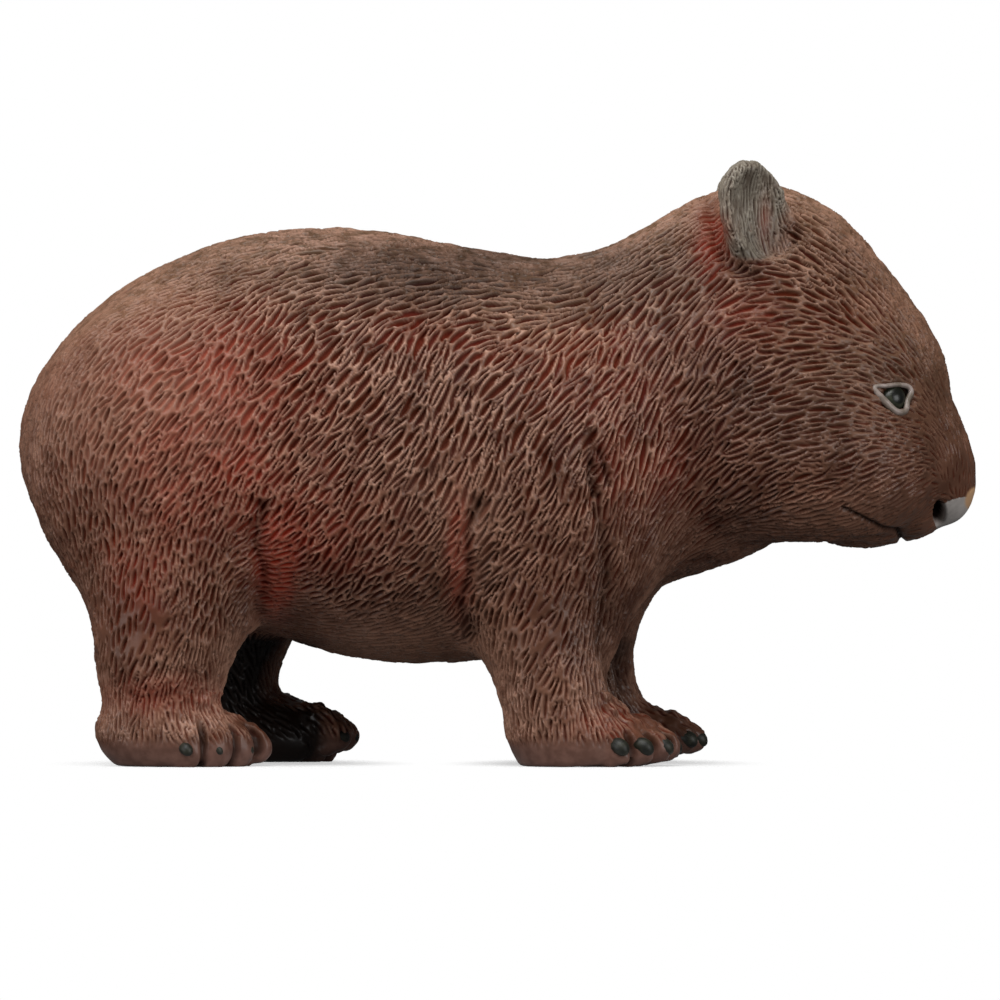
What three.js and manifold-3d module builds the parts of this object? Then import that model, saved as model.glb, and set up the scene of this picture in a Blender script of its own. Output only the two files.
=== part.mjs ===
// A toy wombat of moulded vinyl, standing on all four feet, in millimetres, +Z up, nose towards +X.
// The body is a set of soft round masses that flow into one another. It is modelled whole and then
// parted by thin cuts into the torso, neck, head, legs and paws. Ears, eyes, nose and claws sit in
// sockets of the piece that carries them.
import * as THREE from "three";
import { mergeVertices } from "three/addons/utils/BufferGeometryUtils.js";
import Module from "manifold-3d";

const wasm = await Module();
wasm.setup();

// Driving sizes. Every place and size below is for a toy of DESIGN_LENGTH from rump to nose.
const LENGTH = 110;
const DESIGN_LENGTH = 110;
const SCALE = LENGTH / DESIGN_LENGTH;
const GAP = 0.3 / SCALE; // clear space that two neighbours keep
const PINCH_EASE = 0.04; // share of the way to its neighbours that a pinched point moves
const SHORTEST_EDGE = 0.02; // edges shorter than this, which cuts leave, are closed up
const RIGHT = -1; // the right side is towards -Y
const LEFT = 1;
const STRIDE = { hind: 9.7, front: 3.3 }; // how far each left foot stands ahead of the right one
const TOE_LIFT = { hind: [0, 1], front: [0.5, 0.9] }; // how high the toes are, on the right and on the left
const LEG_SPREAD = 14; // from the middle plane to the middle of each foot

// Fineness of the faceted surface, as the grid step on each region.
const CELL = { torso: 4.2, neck: 3.6, head: 2.5, leg: 3, paw: 1.55, nose: 1.2 };

// Round masses: middle, half sizes, pitch in degrees (nose down is negative) and how far each one
// blends into those before it.
const TRUNK = {
  rump: { at: [-35.5, 0, 35.3], half: [19.7, 20, 17.3], pitch: -21, blend: 1 },
  loin: { at: [-16.4, 0, 42.6], half: [31, 22.3, 19], pitch: -6, blend: 6 },
  belly: { at: [-12.3, 0, 30.2], half: [27.6, 22.5, 18.2], pitch: -8, blend: 6 },
  ribs: { at: [3, 0, 36.2], half: [21, 20, 21], pitch: -10, blend: 6 },
  neck: { at: [20.1, 0, 41.4], half: [18.2, 16.5, 19.4], pitch: 26, blend: 6 },
  crown: { at: [30.1, 0, 47.6], half: [16.8, 14.5, 19.2], pitch: 4, blend: 5 },
  face: { at: [39.9, 0, 43.9], half: [13.5, 13, 11.9], pitch: -56, blend: 4 },
  cheek: { at: [36, 8, 35.6], half: [13.9, 9, 9.8], pitch: -6, blend: 4 },
  snout: { at: [44.6, 0, 34.2], half: [8, 10.8, 7.7], pitch: 0, blend: 4 },
  muzzle: { at: [50.4, 0, 34.6], half: [4.7, 6.6, 7.2], pitch: 17, blend: 3 },
  lip: { at: [48.4, 0, 29], half: [2.5, 6, 3], pitch: -9, blend: 1.5 },
  chin: { at: [42, 0, 29.1], half: [7.1, 7, 4.1], pitch: -2, blend: 1.5 },
};

// The masses of one leg. The share of the stride that each takes grows towards the foot.
const LEG = {
  hind: {
    thigh: { at: [-37.8, 11.6, 33], half: [14.6, 9.6, 18.6], pitch: 14, blend: 6, stride: 0.2 },
    shank: { at: [-37.8, LEG_SPREAD, 16.4], half: [8.1, 7.5, 14.5], pitch: -6, blend: 5, stride: 0.57 },
    heel: { at: [-37, LEG_SPREAD, 3], half: [8.9, 6.3, 5.2], pitch: -8, blend: 2.5, stride: 1 },
  },
  front: {
    shoulder: { at: [6.8, 11, 29.5], half: [11.5, 9.5, 18.6], pitch: 0, blend: 6, stride: 0.4 },
    forearm: { at: [6.7, 13.5, 9], half: [6.4, 7.5, 16.4], pitch: 14, blend: 5, stride: 0.9 },
    wrist: { at: [9.9, LEG_SPREAD, 2.8], half: [8, 6.1, 4.8], pitch: -8, blend: 2.5, stride: 1 },
  },
};

// Each paw turns on its middle. A toe ends at its tip, given ahead of the middle and outwards from it,
// from the inner toe to the outer one, then its share of the full height. It carries a blunt claw.
const PAW = {
  hind: {
    middle: [-37, 3.1],
    tips: [[9.9, -5, 1], [10.9, -1.9, 1], [8.9, 1.7, 0.95], [5.5, 5, 0.88], [2, 6.8, 0.8]],
    toe: { half: [4.2, 1.8, 2.4], height: 3.1, pitch: -24 },
    claw: { long: 1.9, radius: 0.68, height: 1.9 },
  },
  front: {
    middle: [9.6, 3],
    tips: [[9.9, -4.7, 1], [11.1, -1.7, 1], [10.1, 1.4, 0.92], [7.8, 4.4, 0.8], [5, 6.1, 0.68]],
    toe: { half: [4.4, 1.75, 2.2], height: 2.9, pitch: -24 },
    claw: { long: 2.3, radius: 0.94, height: 1.6 },
  },
};
const CLAW_DIP = 24; // degrees that a claw points down
const CLAW_SIDES = 6;
// The sole of a front paw rises gently from this place behind its middle to the toes.
const SOLE_RISE = { behind: 1.5, angle: 3 };

// Parting planes, each through two points of the side view.
const NECK_CUT = { top: [10.4, 59.4], low: [17.1, 18.5] };
const HEAD_CUT = { top: [22.8, 65], low: [28.8, 24] };
const ANKLE_HEIGHT = 7;
// A leg is parted from the trunk by an egg round its upper end, and by height below the belly.
const LEG_EGG = {
  hind: { at: [-37, 20, 14], half: [15.5, 14, 26] },
  front: { at: [7.5, 20, 13], half: [14, 14, 26] },
};
const EGG_SEGMENTS = 24;
const BELLY_CLEARANCE = 11; // below this height there is nothing but legs
// The boxes that hold the parts: from the low corner to the high one, each well clear of the surface.
const BOX = {
  torso: { low: [-58, -30], high: [24, 30, 66] },
  neck: { low: [2, -27], high: [36, 27, 74] },
  head: { low: [18, -23, 20], high: [58, 23, 70] },
  nose: { low: [46, -11, 23], high: [58, 11, 38] },
  leg: { behind: 22, ahead: 28, out: 30, below: 8, top: 44 }, // from the middle of its shoulder or hip
  feet: { ahead: 24, out: 40, in: 0.5, below: 5 },
};

// An ear is an upright cup that opens sideways and a little ahead.
const EAR = {
  at: [29.6, 10.6, 63.2],
  outer: [4.6, 2.6, 6.3],
  hollow: [3.9, 2, 5.3],
  hollowShift: [0.3, 1.7, 0.2], // ahead, outwards and up, before the ear is turned
  turn: 32,
  leanBack: 18,
};

// The eye opening is a slanted triangle with a raised lid above and below. Lid points are ahead and up.
const EYE = {
  side: [46.1, 42.4],
  ballHalf: [1.75, 1.6, 1.3],
  sunk: 0.75,
  upperLid: [[-2.8, 1.3], [-1.2, 1.5], [0.4, 1.5], [1.4, 1.1], [1.4, 0]],
  lowerLid: [[1.5, 0.3], [1.1, -1.2], [0.3, -2], [-0.8, -1.4], [-2, 0], [-2.8, 1.3]],
  lidRadius: 0.36,
};
const NOSE = { at: [53.2, 0, 28.6], half: [4.9, 6.8, 2.8], pitch: -22, segments: 16 };
const NOSTRIL = { side: [51.1, 29.1], half: [0.55, 0.9, 0.95] };
const MOUTH = {
  side: [[39.6, 29.6], [42, 28.4], [44.3, 27.2], [46, 26.6]],
  front: [47.1, 26.1],
  radius: 0.42,
};

const VINYL = { brown: 0x5d4038, darkBrown: 0x3d2a26, grey: 0x8a837d, lilac: 0x7a7078, black: 0x17191a };

// One mass as a signed distance, close to true near its surface. Yaw turns it outwards.
function massDistance({ at, half, pitch = 0, yaw = 0 }, shift = 0, lift = 0) {
  const turn = new THREE.Matrix4().makeRotationFromEuler(
    new THREE.Euler(0, THREE.MathUtils.degToRad(-pitch), THREE.MathUtils.degToRad(yaw), "ZYX"),
  );
  const [x0, x1, x2, , y0, y1, y2, , z0, z1, z2] = turn.elements;
  return (x, y, z) => {
    const dx = x - at[0] - shift;
    const dy = y - at[1];
    const dz = z - at[2] - lift;
    const u = (x0 * dx + x1 * dy + x2 * dz) / half[0];
    const v = (y0 * dx + y1 * dy + y2 * dz) / half[1];
    const w = (z0 * dx + z1 * dy + z2 * dz) / half[2];
    const near = Math.hypot(u, v, w);
    const slope = Math.hypot(u / half[0], v / half[1], w / half[2]);
    return slope > 0 ? (near * (near - 1)) / slope : -Math.min(...half);
  };
}

// Smooth union of two distances.
function blended(a, b, reach) {
  const h = Math.max(reach - Math.abs(a - b), 0) / reach;
  return Math.min(a, b) - (h * h * reach) / 4;
}

// One toe as a mass that ends at its tip and points away from the middle of the paw.
function toeMass({ middle, toe }, [ahead, across, share]) {
  const far = Math.hypot(ahead, across);
  const [long, wide, high] = toe.half;
  const back = 1 - (long * 0.9) / far;
  return {
    at: [middle[0] + ahead * back, LEG_SPREAD + across * back, toe.height * share],
    half: [long, wide, high * share],
    pitch: toe.pitch,
    yaw: toeYaw([ahead, across]),
    blend: 0.9,
    stride: 1,
  };
}

const toeYaw = ([ahead, across]) => THREE.MathUtils.radToDeg(Math.atan2(across, ahead)) * 0.6;

// The whole body as one field: negative inside, zero on the surface.
function bodyField() {
  const trunk = Object.values(TRUNK).map((mass) => ({ far: massDistance(mass), blend: mass.blend }));
  const legMasses = (side) =>
    Object.entries(LEG).flatMap(([end, leg]) => {
      const left = side === LEFT;
      const masses = Object.values(leg).map((mass) => [mass, 0]);
      const toes = PAW[end].tips.map((tip) => [toeMass(PAW[end], tip), TOE_LIFT[end][left ? 1 : 0]]);
      return [...masses, ...toes].map(([mass, lift]) => ({
        far: massDistance(mass, left ? STRIDE[end] * mass.stride : 0, lift),
        blend: mass.blend,
      }));
    });
  const right = legMasses(RIGHT);
  const left = legMasses(LEFT);
  return (x, y, z) => {
    const away = Math.abs(y);
    let d = Infinity;
    for (const mass of trunk) d = blended(d, mass.far(x, away, z), mass.blend);
    for (const mass of y < 0 ? right : left) d = blended(d, mass.far(x, away, z), mass.blend);
    return d;
  };
}

// A closed three.js geometry as a solid that can be cut and joined.
function solidOf(geometry) {
  const bare = new THREE.BufferGeometry();
  bare.setAttribute("position", geometry.getAttribute("position"));
  bare.setIndex(geometry.index);
  const merged = mergeVertices(bare, 1e-4);
  return new wasm.Manifold(
    new wasm.Mesh({
      numProp: 3,
      vertProperties: merged.getAttribute("position").array,
      triVerts: new Uint32Array(merged.index.array),
    }),
  );
}

// The surface of a field inside a box. Each grid cell that the surface crosses holds one vertex, which is
// moved onto the surface, and each grid edge that it crosses is ringed by a quad.
function solidFromField(field, low, high, cell) {
  const count = low.map((v, i) => Math.ceil((high[i] - v) / cell) + 3);
  const start = low.map((v) => v - cell);
  const step = [1, count[0], count[0] * count[1]];
  const place = (i, j, k) => [start[0] + i * cell, start[1] + j * cell, start[2] + k * cell];
  const walls = ([x, y, z]) =>
    Math.max(low[0] - x, x - high[0], low[1] - y, y - high[1], low[2] - z, z - high[2]);
  const value = new Float64Array(count[0] * count[1] * count[2]);
  for (let k = 0, n = 0; k < count[2]; k++)
    for (let j = 0; j < count[1]; j++)
      for (let i = 0; i < count[0]; i++, n++) {
        const p = place(i, j, k);
        value[n] = Math.max(field(...p), walls(p)) || 1e-9;
      }

  const points = [];
  const vertexOf = new Int32Array(value.length).fill(-1);
  const corner = [0, 1, 2, 3, 4, 5, 6, 7].map((c) => [c & 1, (c >> 1) & 1, c >> 2]);
  const edges = corner.flatMap((a, i) =>
    [1, 2, 4].filter((bit) => !(i & bit)).map((bit) => [a, corner[i | bit]]),
  );
  const at = (i, j, k) => i + j * step[1] + k * step[2];
  for (let k = 0; k < count[2] - 1; k++)
    for (let j = 0; j < count[1] - 1; j++)
      for (let i = 0; i < count[0] - 1; i++) {
        const sum = [0, 0, 0];
        let crossings = 0;
        for (const [a, b] of edges) {
          const va = value[at(i + a[0], j + a[1], k + a[2])];
          const vb = value[at(i + b[0], j + b[1], k + b[2])];
          if (va < 0 === vb < 0) continue;
          const t = va / (va - vb);
          for (let n = 0; n < 3; n++) sum[n] += a[n] + t * (b[n] - a[n]);
          crossings++;
        }
        if (!crossings) continue;
        const p = place(...[i, j, k].map((v, n) => v + sum[n] / crossings));
        vertexOf[at(i, j, k)] = points.length;
        points.push(walls(p) < -cell ? ontoSurface(field, p) : p);
      }

  const triangles = [];
  for (let k = 1; k < count[2] - 1; k++)
    for (let j = 1; j < count[1] - 1; j++)
      for (let i = 1; i < count[0] - 1; i++)
        for (let axis = 0; axis < 3; axis++) {
          const n = at(i, j, k);
          const inside = value[n] < 0;
          if (inside === value[n + step[axis]] < 0) continue;
          const [b, c] = [step[(axis + 1) % 3], step[(axis + 2) % 3]];
          const ring = [n, n - b, n - b - c, n - c].map((m) => vertexOf[m]);
          if (!inside) ring.reverse();
          triangles.push(ring[0], ring[1], ring[2], ring[0], ring[2], ring[3]);
        }
  const geometry = new THREE.BufferGeometry();
  geometry.setAttribute("position", new THREE.Float32BufferAttribute(points.flat(), 3));
  geometry.setIndex(triangles);
  return solidOf(geometry);
}

// The field's slope at a point, towards the outside.
function slopeAt(field, p) {
  const h = 0.01;
  return [0, 1, 2].map((n) => {
    const ahead = p.map((v, i) => v + (i === n ? h : 0));
    const behind = p.map((v, i) => v - (i === n ? h : 0));
    return (field(...ahead) - field(...behind)) / (2 * h);
  });
}

// A point near the surface, moved along the slope until it lies on the surface.
function ontoSurface(field, point) {
  let p = point;
  for (let n = 0; n < 3; n++) {
    const slope = slopeAt(field, p);
    const steep = slope[0] ** 2 + slope[1] ** 2 + slope[2] ** 2;
    const move = field(...p) / Math.max(steep, 0.1);
    p = p.map((v, i) => v - move * slope[i]);
  }
  return p;
}

// The surface point of the side view's place (x, z), on one side, found from the outside inwards.
function onSide(field, [x, z], side) {
  const outside = 30;
  let y = outside;
  while (y > 0 && field(x, side * y, z) > 0.01) y -= Math.max(field(x, side * y, z) * 0.5, 0.01);
  return [x, side * y, z];
}

const turned = (geometry, at, { yaw = 0, pitch = 0, roll = 0 } = {}) => {
  const angles = [roll, -pitch, yaw].map(THREE.MathUtils.degToRad);
  const matrix = new THREE.Matrix4().makeRotationFromEuler(new THREE.Euler(...angles, "ZYX"));
  return geometry.applyMatrix4(matrix).translate(...at);
};

function egg(at, half, angles, segments = 20, grow = 0) {
  const ball = new THREE.SphereGeometry(1, segments, Math.round(segments / 2));
  ball.scale(...half.map((h) => h + grow));
  return solidOf(turned(ball, at, angles));
}

// The half of space behind (or, with a negative side, ahead of) a plane through two side-view points.
function besidePlane(solid, { top, low }, side) {
  const along = new THREE.Vector3(top[0] - low[0], 0, top[1] - low[1]).normalize();
  const normal = new THREE.Vector3(along.z, 0, -along.x).multiplyScalar(side);
  const offset = normal.dot(new THREE.Vector3(low[0], 0, low[1])) + GAP / 2;
  return solid.trimByPlane(normal.toArray(), offset);
}

const slab = (low, high) => {
  const size = high.map((v, i) => v - low[i]);
  const box = new THREE.BoxGeometry(...size);
  return solidOf(box.translate(...low.map((v, i) => v + size[i] / 2)));
};

// Only the largest closed surface, so that a scrap left by a cut is dropped.
const largest = (solid) => solid.decompose().sort((a, b) => b.volume() - a.volume())[0];

// All that one leg keeps of the body: the egg round its shoulder or hip, and everything below the belly.
function legRegion(end, side, grow = 0) {
  const { at, half } = LEG_EGG[end];
  const shift = side === LEFT ? STRIDE[end] * 0.3 : 0;
  const middle = [at[0] + shift, side * at[1], at[2]];
  const outer = side * BOX.feet.out;
  const inner = side * BOX.feet.in;
  const below = slab(
    [middle[0] - BOX.leg.behind, Math.min(inner, outer), -BOX.feet.below],
    [middle[0] + BOX.feet.ahead, Math.max(inner, outer), BELLY_CLEARANCE + grow],
  );
  return egg(middle, half, {}, EGG_SEGMENTS, grow).add(below);
}

function ear(side) {
  const angles = { yaw: -side * EAR.turn, pitch: EAR.leanBack };
  const at = [EAR.at[0], side * EAR.at[1], EAR.at[2]];
  const shell = (half, [ahead, outwards, up], grow = 0) => {
    const ball = new THREE.SphereGeometry(1, 14, 8);
    ball.scale(...half.map((h) => h + grow)).translate(ahead, side * outwards, up);
    return solidOf(turned(ball, at, angles));
  };
  const cup = shell(EAR.outer, [0, 0, 0]).subtract(shell(EAR.hollow, EAR.hollowShift));
  return { cup: largest(cup), socket: shell(EAR.outer, [0, 0, 0], GAP) };
}

// A round bar that follows a smooth line through points.
function bar(points, radius, steps) {
  const path = new THREE.CatmullRomCurve3(points);
  const section = new THREE.Shape().absarc(0, 0, radius, 0, 2 * Math.PI);
  const along = { extrudePath: path, steps, curveSegments: 3, bevelEnabled: false };
  return solidOf(new THREE.ExtrudeGeometry(section, along));
}

// The eyeball, turned to face straight out of the head, and its lids, laid on the head round it.
function eye(field, side) {
  const at = onSide(field, EYE.side, side);
  const out = new THREE.Vector3(...slopeAt(field, at)).normalize();
  const facing = new THREE.Matrix4().makeRotationFromQuaternion(
    new THREE.Quaternion().setFromUnitVectors(new THREE.Vector3(0, side, 0), out),
  );
  facing.setPosition(...at);
  const ball = (grow) => {
    const sphere = new THREE.SphereGeometry(1, 12, 8);
    const [long, tall, deep] = EYE.ballHalf.map((h) => h + grow);
    sphere.scale(long, deep, tall).translate(0, -side * EYE.sunk, 0);
    return solidOf(sphere.applyMatrix4(facing));
  };
  const lid = (points) => {
    const onHead = points.map(([ahead, up]) => [EYE.side[0] + ahead, EYE.side[1] + up]);
    return bar(onHead.map((place) => new THREE.Vector3(...onSide(field, place, side))), EYE.lidRadius, 8);
  };
  return { ball: ball(0), socket: ball(GAP), lids: lid(EYE.upperLid).add(lid(EYE.lowerLid)) };
}

function nostrils(field) {
  return [RIGHT, LEFT].map((side) => egg(onSide(field, NOSTRIL.side, side), NOSTRIL.half, {}, 10));
}

// The line of the mouth: a groove from one corner, under the nose and back to the other corner.
function mouthGroove(field) {
  const corner = (side) => MOUTH.side.map((place) => new THREE.Vector3(...onSide(field, place, side)));
  const front = new THREE.Vector3(MOUTH.front[0], 0, MOUTH.front[1]);
  return bar([...corner(RIGHT), front, ...corner(LEFT).reverse()], MOUTH.radius, 16);
}

// The claws of one paw, from the inner side to the outer, each with the socket that it sits in.
function claws(end, side) {
  const { middle, tips, claw } = PAW[end];
  const shift = side === LEFT ? STRIDE[end] : 0;
  const lift = TOE_LIFT[end][side === LEFT ? 1 : 0];
  const { long, radius, height } = claw;
  return tips.map((tip) => {
    const at = [middle[0] + shift + tip[0], side * (LEG_SPREAD + tip[1]), height + lift];
    const cone = (grow) => {
      const profile = [
        [0, -long * 0.6 - grow],
        [radius + grow, -long * 0.5 - grow],
        [radius + grow, 0],
        [radius * 0.75 + grow, long * 0.32],
        [0, long * 0.45 + grow],
      ];
      const turnedProfile = profile.map((p) => new THREE.Vector2(...p));
      const body = new THREE.LatheGeometry(turnedProfile, CLAW_SIDES).rotateZ(-Math.PI / 2);
      return solidOf(turned(body, at, { yaw: side * toeYaw(tip), pitch: -CLAW_DIP }));
    };
    return { claw: cone(0), socket: cone(GAP) };
  });
}

const wombat = new THREE.Group();
const paints = Object.fromEntries(
  Object.entries(VINYL).map(([name, color]) => [
    name,
    new THREE.MeshStandardMaterial({ color, roughness: name === "black" ? 0.25 : 0.5, metalness: 0 }),
  ]),
);

// For each vertex, the vertices that share an edge with it.
function neighbours(count, triangles) {
  const near = Array.from({ length: count }, () => new Set());
  for (const corners of triangles)
    corners.forEach((a, i) => near[a].add(corners[(i + 1) % 3]).add(corners[(i + 2) % 3]));
  return near;
}

// Short edges are closed up, each where only its own two triangles go with it.
function withoutShortEdges(points, triangles) {
  let kept = triangles;
  for (let closed = true; closed; ) {
    const near = neighbours(points.length, kept);
    const moved = new Map();
    const busy = new Set();
    for (const corners of kept)
      corners.forEach((a, i) => {
        const b = corners[(i + 1) % 3];
        if (points[a].distanceTo(points[b]) > SHORTEST_EDGE || busy.has(a) || busy.has(b)) return;
        if ([...near[a]].filter((v) => near[b].has(v)).length !== 2) return;
        moved.set(b, a);
        for (const v of [a, b, ...near[a], ...near[b]]) busy.add(v);
      });
    closed = moved.size > 0;
    kept = kept
      .map((corners) => corners.map((v) => moved.get(v) ?? v))
      .filter(([a, b, c]) => a !== b && b !== c && c !== a);
  }
  return kept;
}

// Where the surface pinches to a point, each of the sheets that meet there is drawn back a little.
function drawPinchesApart(points, triangles) {
  const near = neighbours(points.length, triangles);
  const used = [...new Set(triangles.flat())];
  const placeOf = (v) => points[v].toArray().map((c) => c.toFixed(3)).join();
  const sheets = Map.groupBy(used, placeOf);
  for (const v of [...sheets.values()].filter((sheet) => sheet.length > 1).flat()) {
    const middle = new THREE.Vector3();
    for (const other of near[v]) middle.addScaledVector(points[other], 1 / near[v].size);
    points[v].lerp(middle, PINCH_EASE);
  }
}

function addNode(name, solid, paint) {
  const { vertProperties, triVerts, numProp } = largest(solid).getMesh();
  const points = [];
  for (let n = 0; n < vertProperties.length; n += numProp)
    points.push(new THREE.Vector3().fromArray(vertProperties, n));
  const triangles = [];
  for (let n = 0; n < triVerts.length; n += 3) triangles.push([...triVerts.slice(n, n + 3)]);
  const tidy = withoutShortEdges(points, triangles);
  drawPinchesApart(points, tidy);
  const geometry = new THREE.BufferGeometry().setFromPoints(points);
  geometry.setIndex(tidy.flat());
  const mesh = new THREE.Mesh(geometry, paints[paint]);
  mesh.name = name;
  wombat.add(mesh);
}

const body = bodyField();

function buildTrunk() {
  const floor = BELLY_CLEARANCE + GAP;
  const within = ({ low, high }, cell) => solidFromField(body, [...low, floor], high, cell);
  let torso = besidePlane(within(BOX.torso, CELL.torso), NECK_CUT, -1);
  let neck = within(BOX.neck, CELL.neck);
  neck = besidePlane(besidePlane(neck, HEAD_CUT, -1), NECK_CUT, 1);
  for (const end of ["hind", "front"])
    for (const side of [RIGHT, LEFT]) {
      const clearing = legRegion(end, side, GAP);
      torso = torso.subtract(clearing);
      neck = neck.subtract(clearing);
    }
  addNode("torso", torso, "brown");
  addNode("neck", neck, "brown");
}

function buildHead() {
  let head = besidePlane(solidFromField(body, BOX.head.low, BOX.head.high, CELL.head), HEAD_CUT, 1);
  const noseEgg = (grow) => egg(NOSE.at, NOSE.half, { pitch: NOSE.pitch }, NOSE.segments, grow);
  let nose = solidFromField(body, BOX.nose.low, BOX.nose.high, CELL.nose).intersect(noseEgg(0));
  head = head.subtract(noseEgg(GAP)).subtract(mouthGroove(body));
  for (const nostril of nostrils(body)) {
    head = head.subtract(nostril);
    nose = nose.subtract(nostril);
  }
  for (const [name, side] of [["right", RIGHT], ["left", LEFT]]) {
    const { ball, socket, lids } = eye(body, side);
    const { cup, socket: earSocket } = ear(side);
    head = head.add(lids).subtract(socket).subtract(earSocket);
    addNode(`eye_${name}`, ball, "black");
    addNode(`ear_${name}`, cup, "grey");
  }
  addNode("head", head, "brown");
  addNode("nose", nose, "lilac");
}

// The paw without what lies below the part of its sole that rises to the toes.
function risingSole(paw, side) {
  const angle = THREE.MathUtils.degToRad(SOLE_RISE.angle);
  const from = PAW.front.middle[0] - SOLE_RISE.behind + (side === LEFT ? STRIDE.front : 0);
  const up = [-Math.sin(angle), 0, Math.cos(angle)];
  return paw.trimByPlane(up, up[0] * from);
}

function buildLeg(end, sideName, side) {
  const { at } = LEG_EGG[end];
  const { behind, ahead, out, below, top } = BOX.leg;
  const low = [at[0] - behind, Math.min(side * out, 0), -below];
  const high = [at[0] + ahead, Math.max(side * out, 0), top];
  const region = legRegion(end, side);
  const leg = solidFromField(body, low, high, CELL.leg)
    .intersect(region)
    .trimByPlane([0, 0, 1], ANKLE_HEIGHT + GAP / 2);
  addNode(`leg_${end}_${sideName}`, leg, "brown");

  let paw = solidFromField(body, low, [high[0], high[1], 2 * ANKLE_HEIGHT], CELL.paw)
    .intersect(region)
    .trimByPlane([0, 0, -1], GAP / 2 - ANKLE_HEIGHT)
    .trimByPlane([0, 0, 1], 0);
  if (end === "front") paw = risingSole(paw, side);
  claws(end, side).forEach(({ claw, socket }, n) => {
    paw = paw.subtract(socket);
    addNode(`claw_${end}_${sideName}_${n + 1}`, claw, "black");
  });
  addNode(`paw_${end}_${sideName}`, paw, "darkBrown");
}

buildTrunk();
buildHead();
for (const end of ["front", "hind"]) {
  buildLeg(end, "right", RIGHT);
  buildLeg(end, "left", LEFT);
}

// The origin is at the middle of the toy's footprint, on the floor.
wombat.scale.setScalar(SCALE);
wombat.updateMatrixWorld(true);
const bounds = new THREE.Box3().setFromObject(wombat, true);
const centre = bounds.getCenter(new THREE.Vector3());
wombat.position.set(-centre.x, -centre.y, -bounds.min.z);

export default wombat;
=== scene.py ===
import math

import bpy
import numpy as np
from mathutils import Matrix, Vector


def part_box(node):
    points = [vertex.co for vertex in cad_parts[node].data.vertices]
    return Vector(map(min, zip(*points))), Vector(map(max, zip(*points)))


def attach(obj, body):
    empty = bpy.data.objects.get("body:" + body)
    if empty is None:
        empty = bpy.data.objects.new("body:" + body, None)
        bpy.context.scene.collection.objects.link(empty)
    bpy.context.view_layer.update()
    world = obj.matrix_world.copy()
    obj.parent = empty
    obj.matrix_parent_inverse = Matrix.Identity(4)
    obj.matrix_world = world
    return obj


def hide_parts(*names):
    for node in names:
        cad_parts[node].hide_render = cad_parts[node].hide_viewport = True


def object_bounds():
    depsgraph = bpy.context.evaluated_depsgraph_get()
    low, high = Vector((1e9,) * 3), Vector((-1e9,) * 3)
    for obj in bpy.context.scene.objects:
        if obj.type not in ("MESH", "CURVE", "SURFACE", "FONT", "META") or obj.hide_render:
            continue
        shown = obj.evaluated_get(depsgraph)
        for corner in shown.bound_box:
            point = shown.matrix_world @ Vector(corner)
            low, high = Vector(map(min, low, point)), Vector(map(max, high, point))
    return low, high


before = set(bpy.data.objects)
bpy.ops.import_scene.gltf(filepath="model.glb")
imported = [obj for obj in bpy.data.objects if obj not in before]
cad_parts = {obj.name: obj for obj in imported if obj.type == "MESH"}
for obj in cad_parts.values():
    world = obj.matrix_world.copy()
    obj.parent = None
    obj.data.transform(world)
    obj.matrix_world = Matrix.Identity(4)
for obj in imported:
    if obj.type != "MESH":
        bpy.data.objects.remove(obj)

import openvdb
from mathutils import Vector

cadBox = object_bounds()
mm = 0.001  # the maths below is in millimetres, the meshes are in metres

# The toy's own drawing, as places along it, outwards and up. Its middle lies a little behind the nose.
drawing = {
    "middle": 0.409,  # the frame's origin, ahead of the drawing's
    "legSpread": 14.0,  # middle plane to the middle of a foot
    "stride": {"hind": 9.7, "front": 3.3},  # how far the left feet stand ahead of the right ones
    "toeLift": {"hind": 1.0, "front": (0.5, 0.9)},
    "crossing": 3.0,  # the two sides' strides flow into one another this near the middle plane
    "soleEdge": 0.35,
}

# The round masses that the body is made of: middle, half sizes, pitch and how far each one blends in.
trunk = {
    "rump": ((-35.5, 0, 35.3), (19.7, 20, 17.3), -21, 1),
    "loin": ((-16.4, 0, 42.6), (31, 22.3, 19), -6, 6),
    "belly": ((-12.3, 0, 30.2), (27.6, 22.5, 18.2), -8, 6),
    "ribs": ((3, 0, 36.2), (21, 20, 21), -10, 6),
    "neck": ((20.1, 0, 41.4), (18.2, 16.5, 19.4), 26, 6),
    "crown": ((30.1, 0, 47.6), (16.8, 14.5, 19.2), 4, 5),
    "face": ((39.9, 0, 43.9), (13.5, 13, 11.9), -56, 4),
    "cheek": ((36, 8, 35.6), (13.9, 9, 9.8), -6, 4),
    "snout": ((44.6, 0, 34.2), (8, 10.8, 7.7), 0, 4),
    "muzzle": ((50.4, 0, 34.6), (4.7, 6.6, 7.2), 17, 3),
    "lip": ((48.4, 0, 29), (2.5, 6, 3), -9, 1.5),
    "chin": ((42, 0, 29.1), (7.1, 7, 4.1), -2, 1.5),
}
spread = drawing["legSpread"]
legs = {  # the last number is the share of the stride that the mass takes
    "hind": [
        ((-37.8, 11.6, 33), (14.6, 9.6, 18.6), 14, 6, 0.2),
        ((-37.8, spread, 16.4), (8.1, 7.5, 14.5), -6, 5, 0.57),
        ((-37, spread, 3), (8.9, 6.3, 5.2), -8, 2.5, 1),
    ],
    "front": [
        ((6.8, 11, 29.5), (11.5, 9.5, 18.6), 0, 6, 0.4),
        ((6.7, 13.5, 9), (6.4, 7.5, 16.4), 14, 5, 0.9),
        ((9.9, spread, 2.8), (8, 6.1, 4.8), -8, 2.5, 1),
    ],
}
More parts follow.
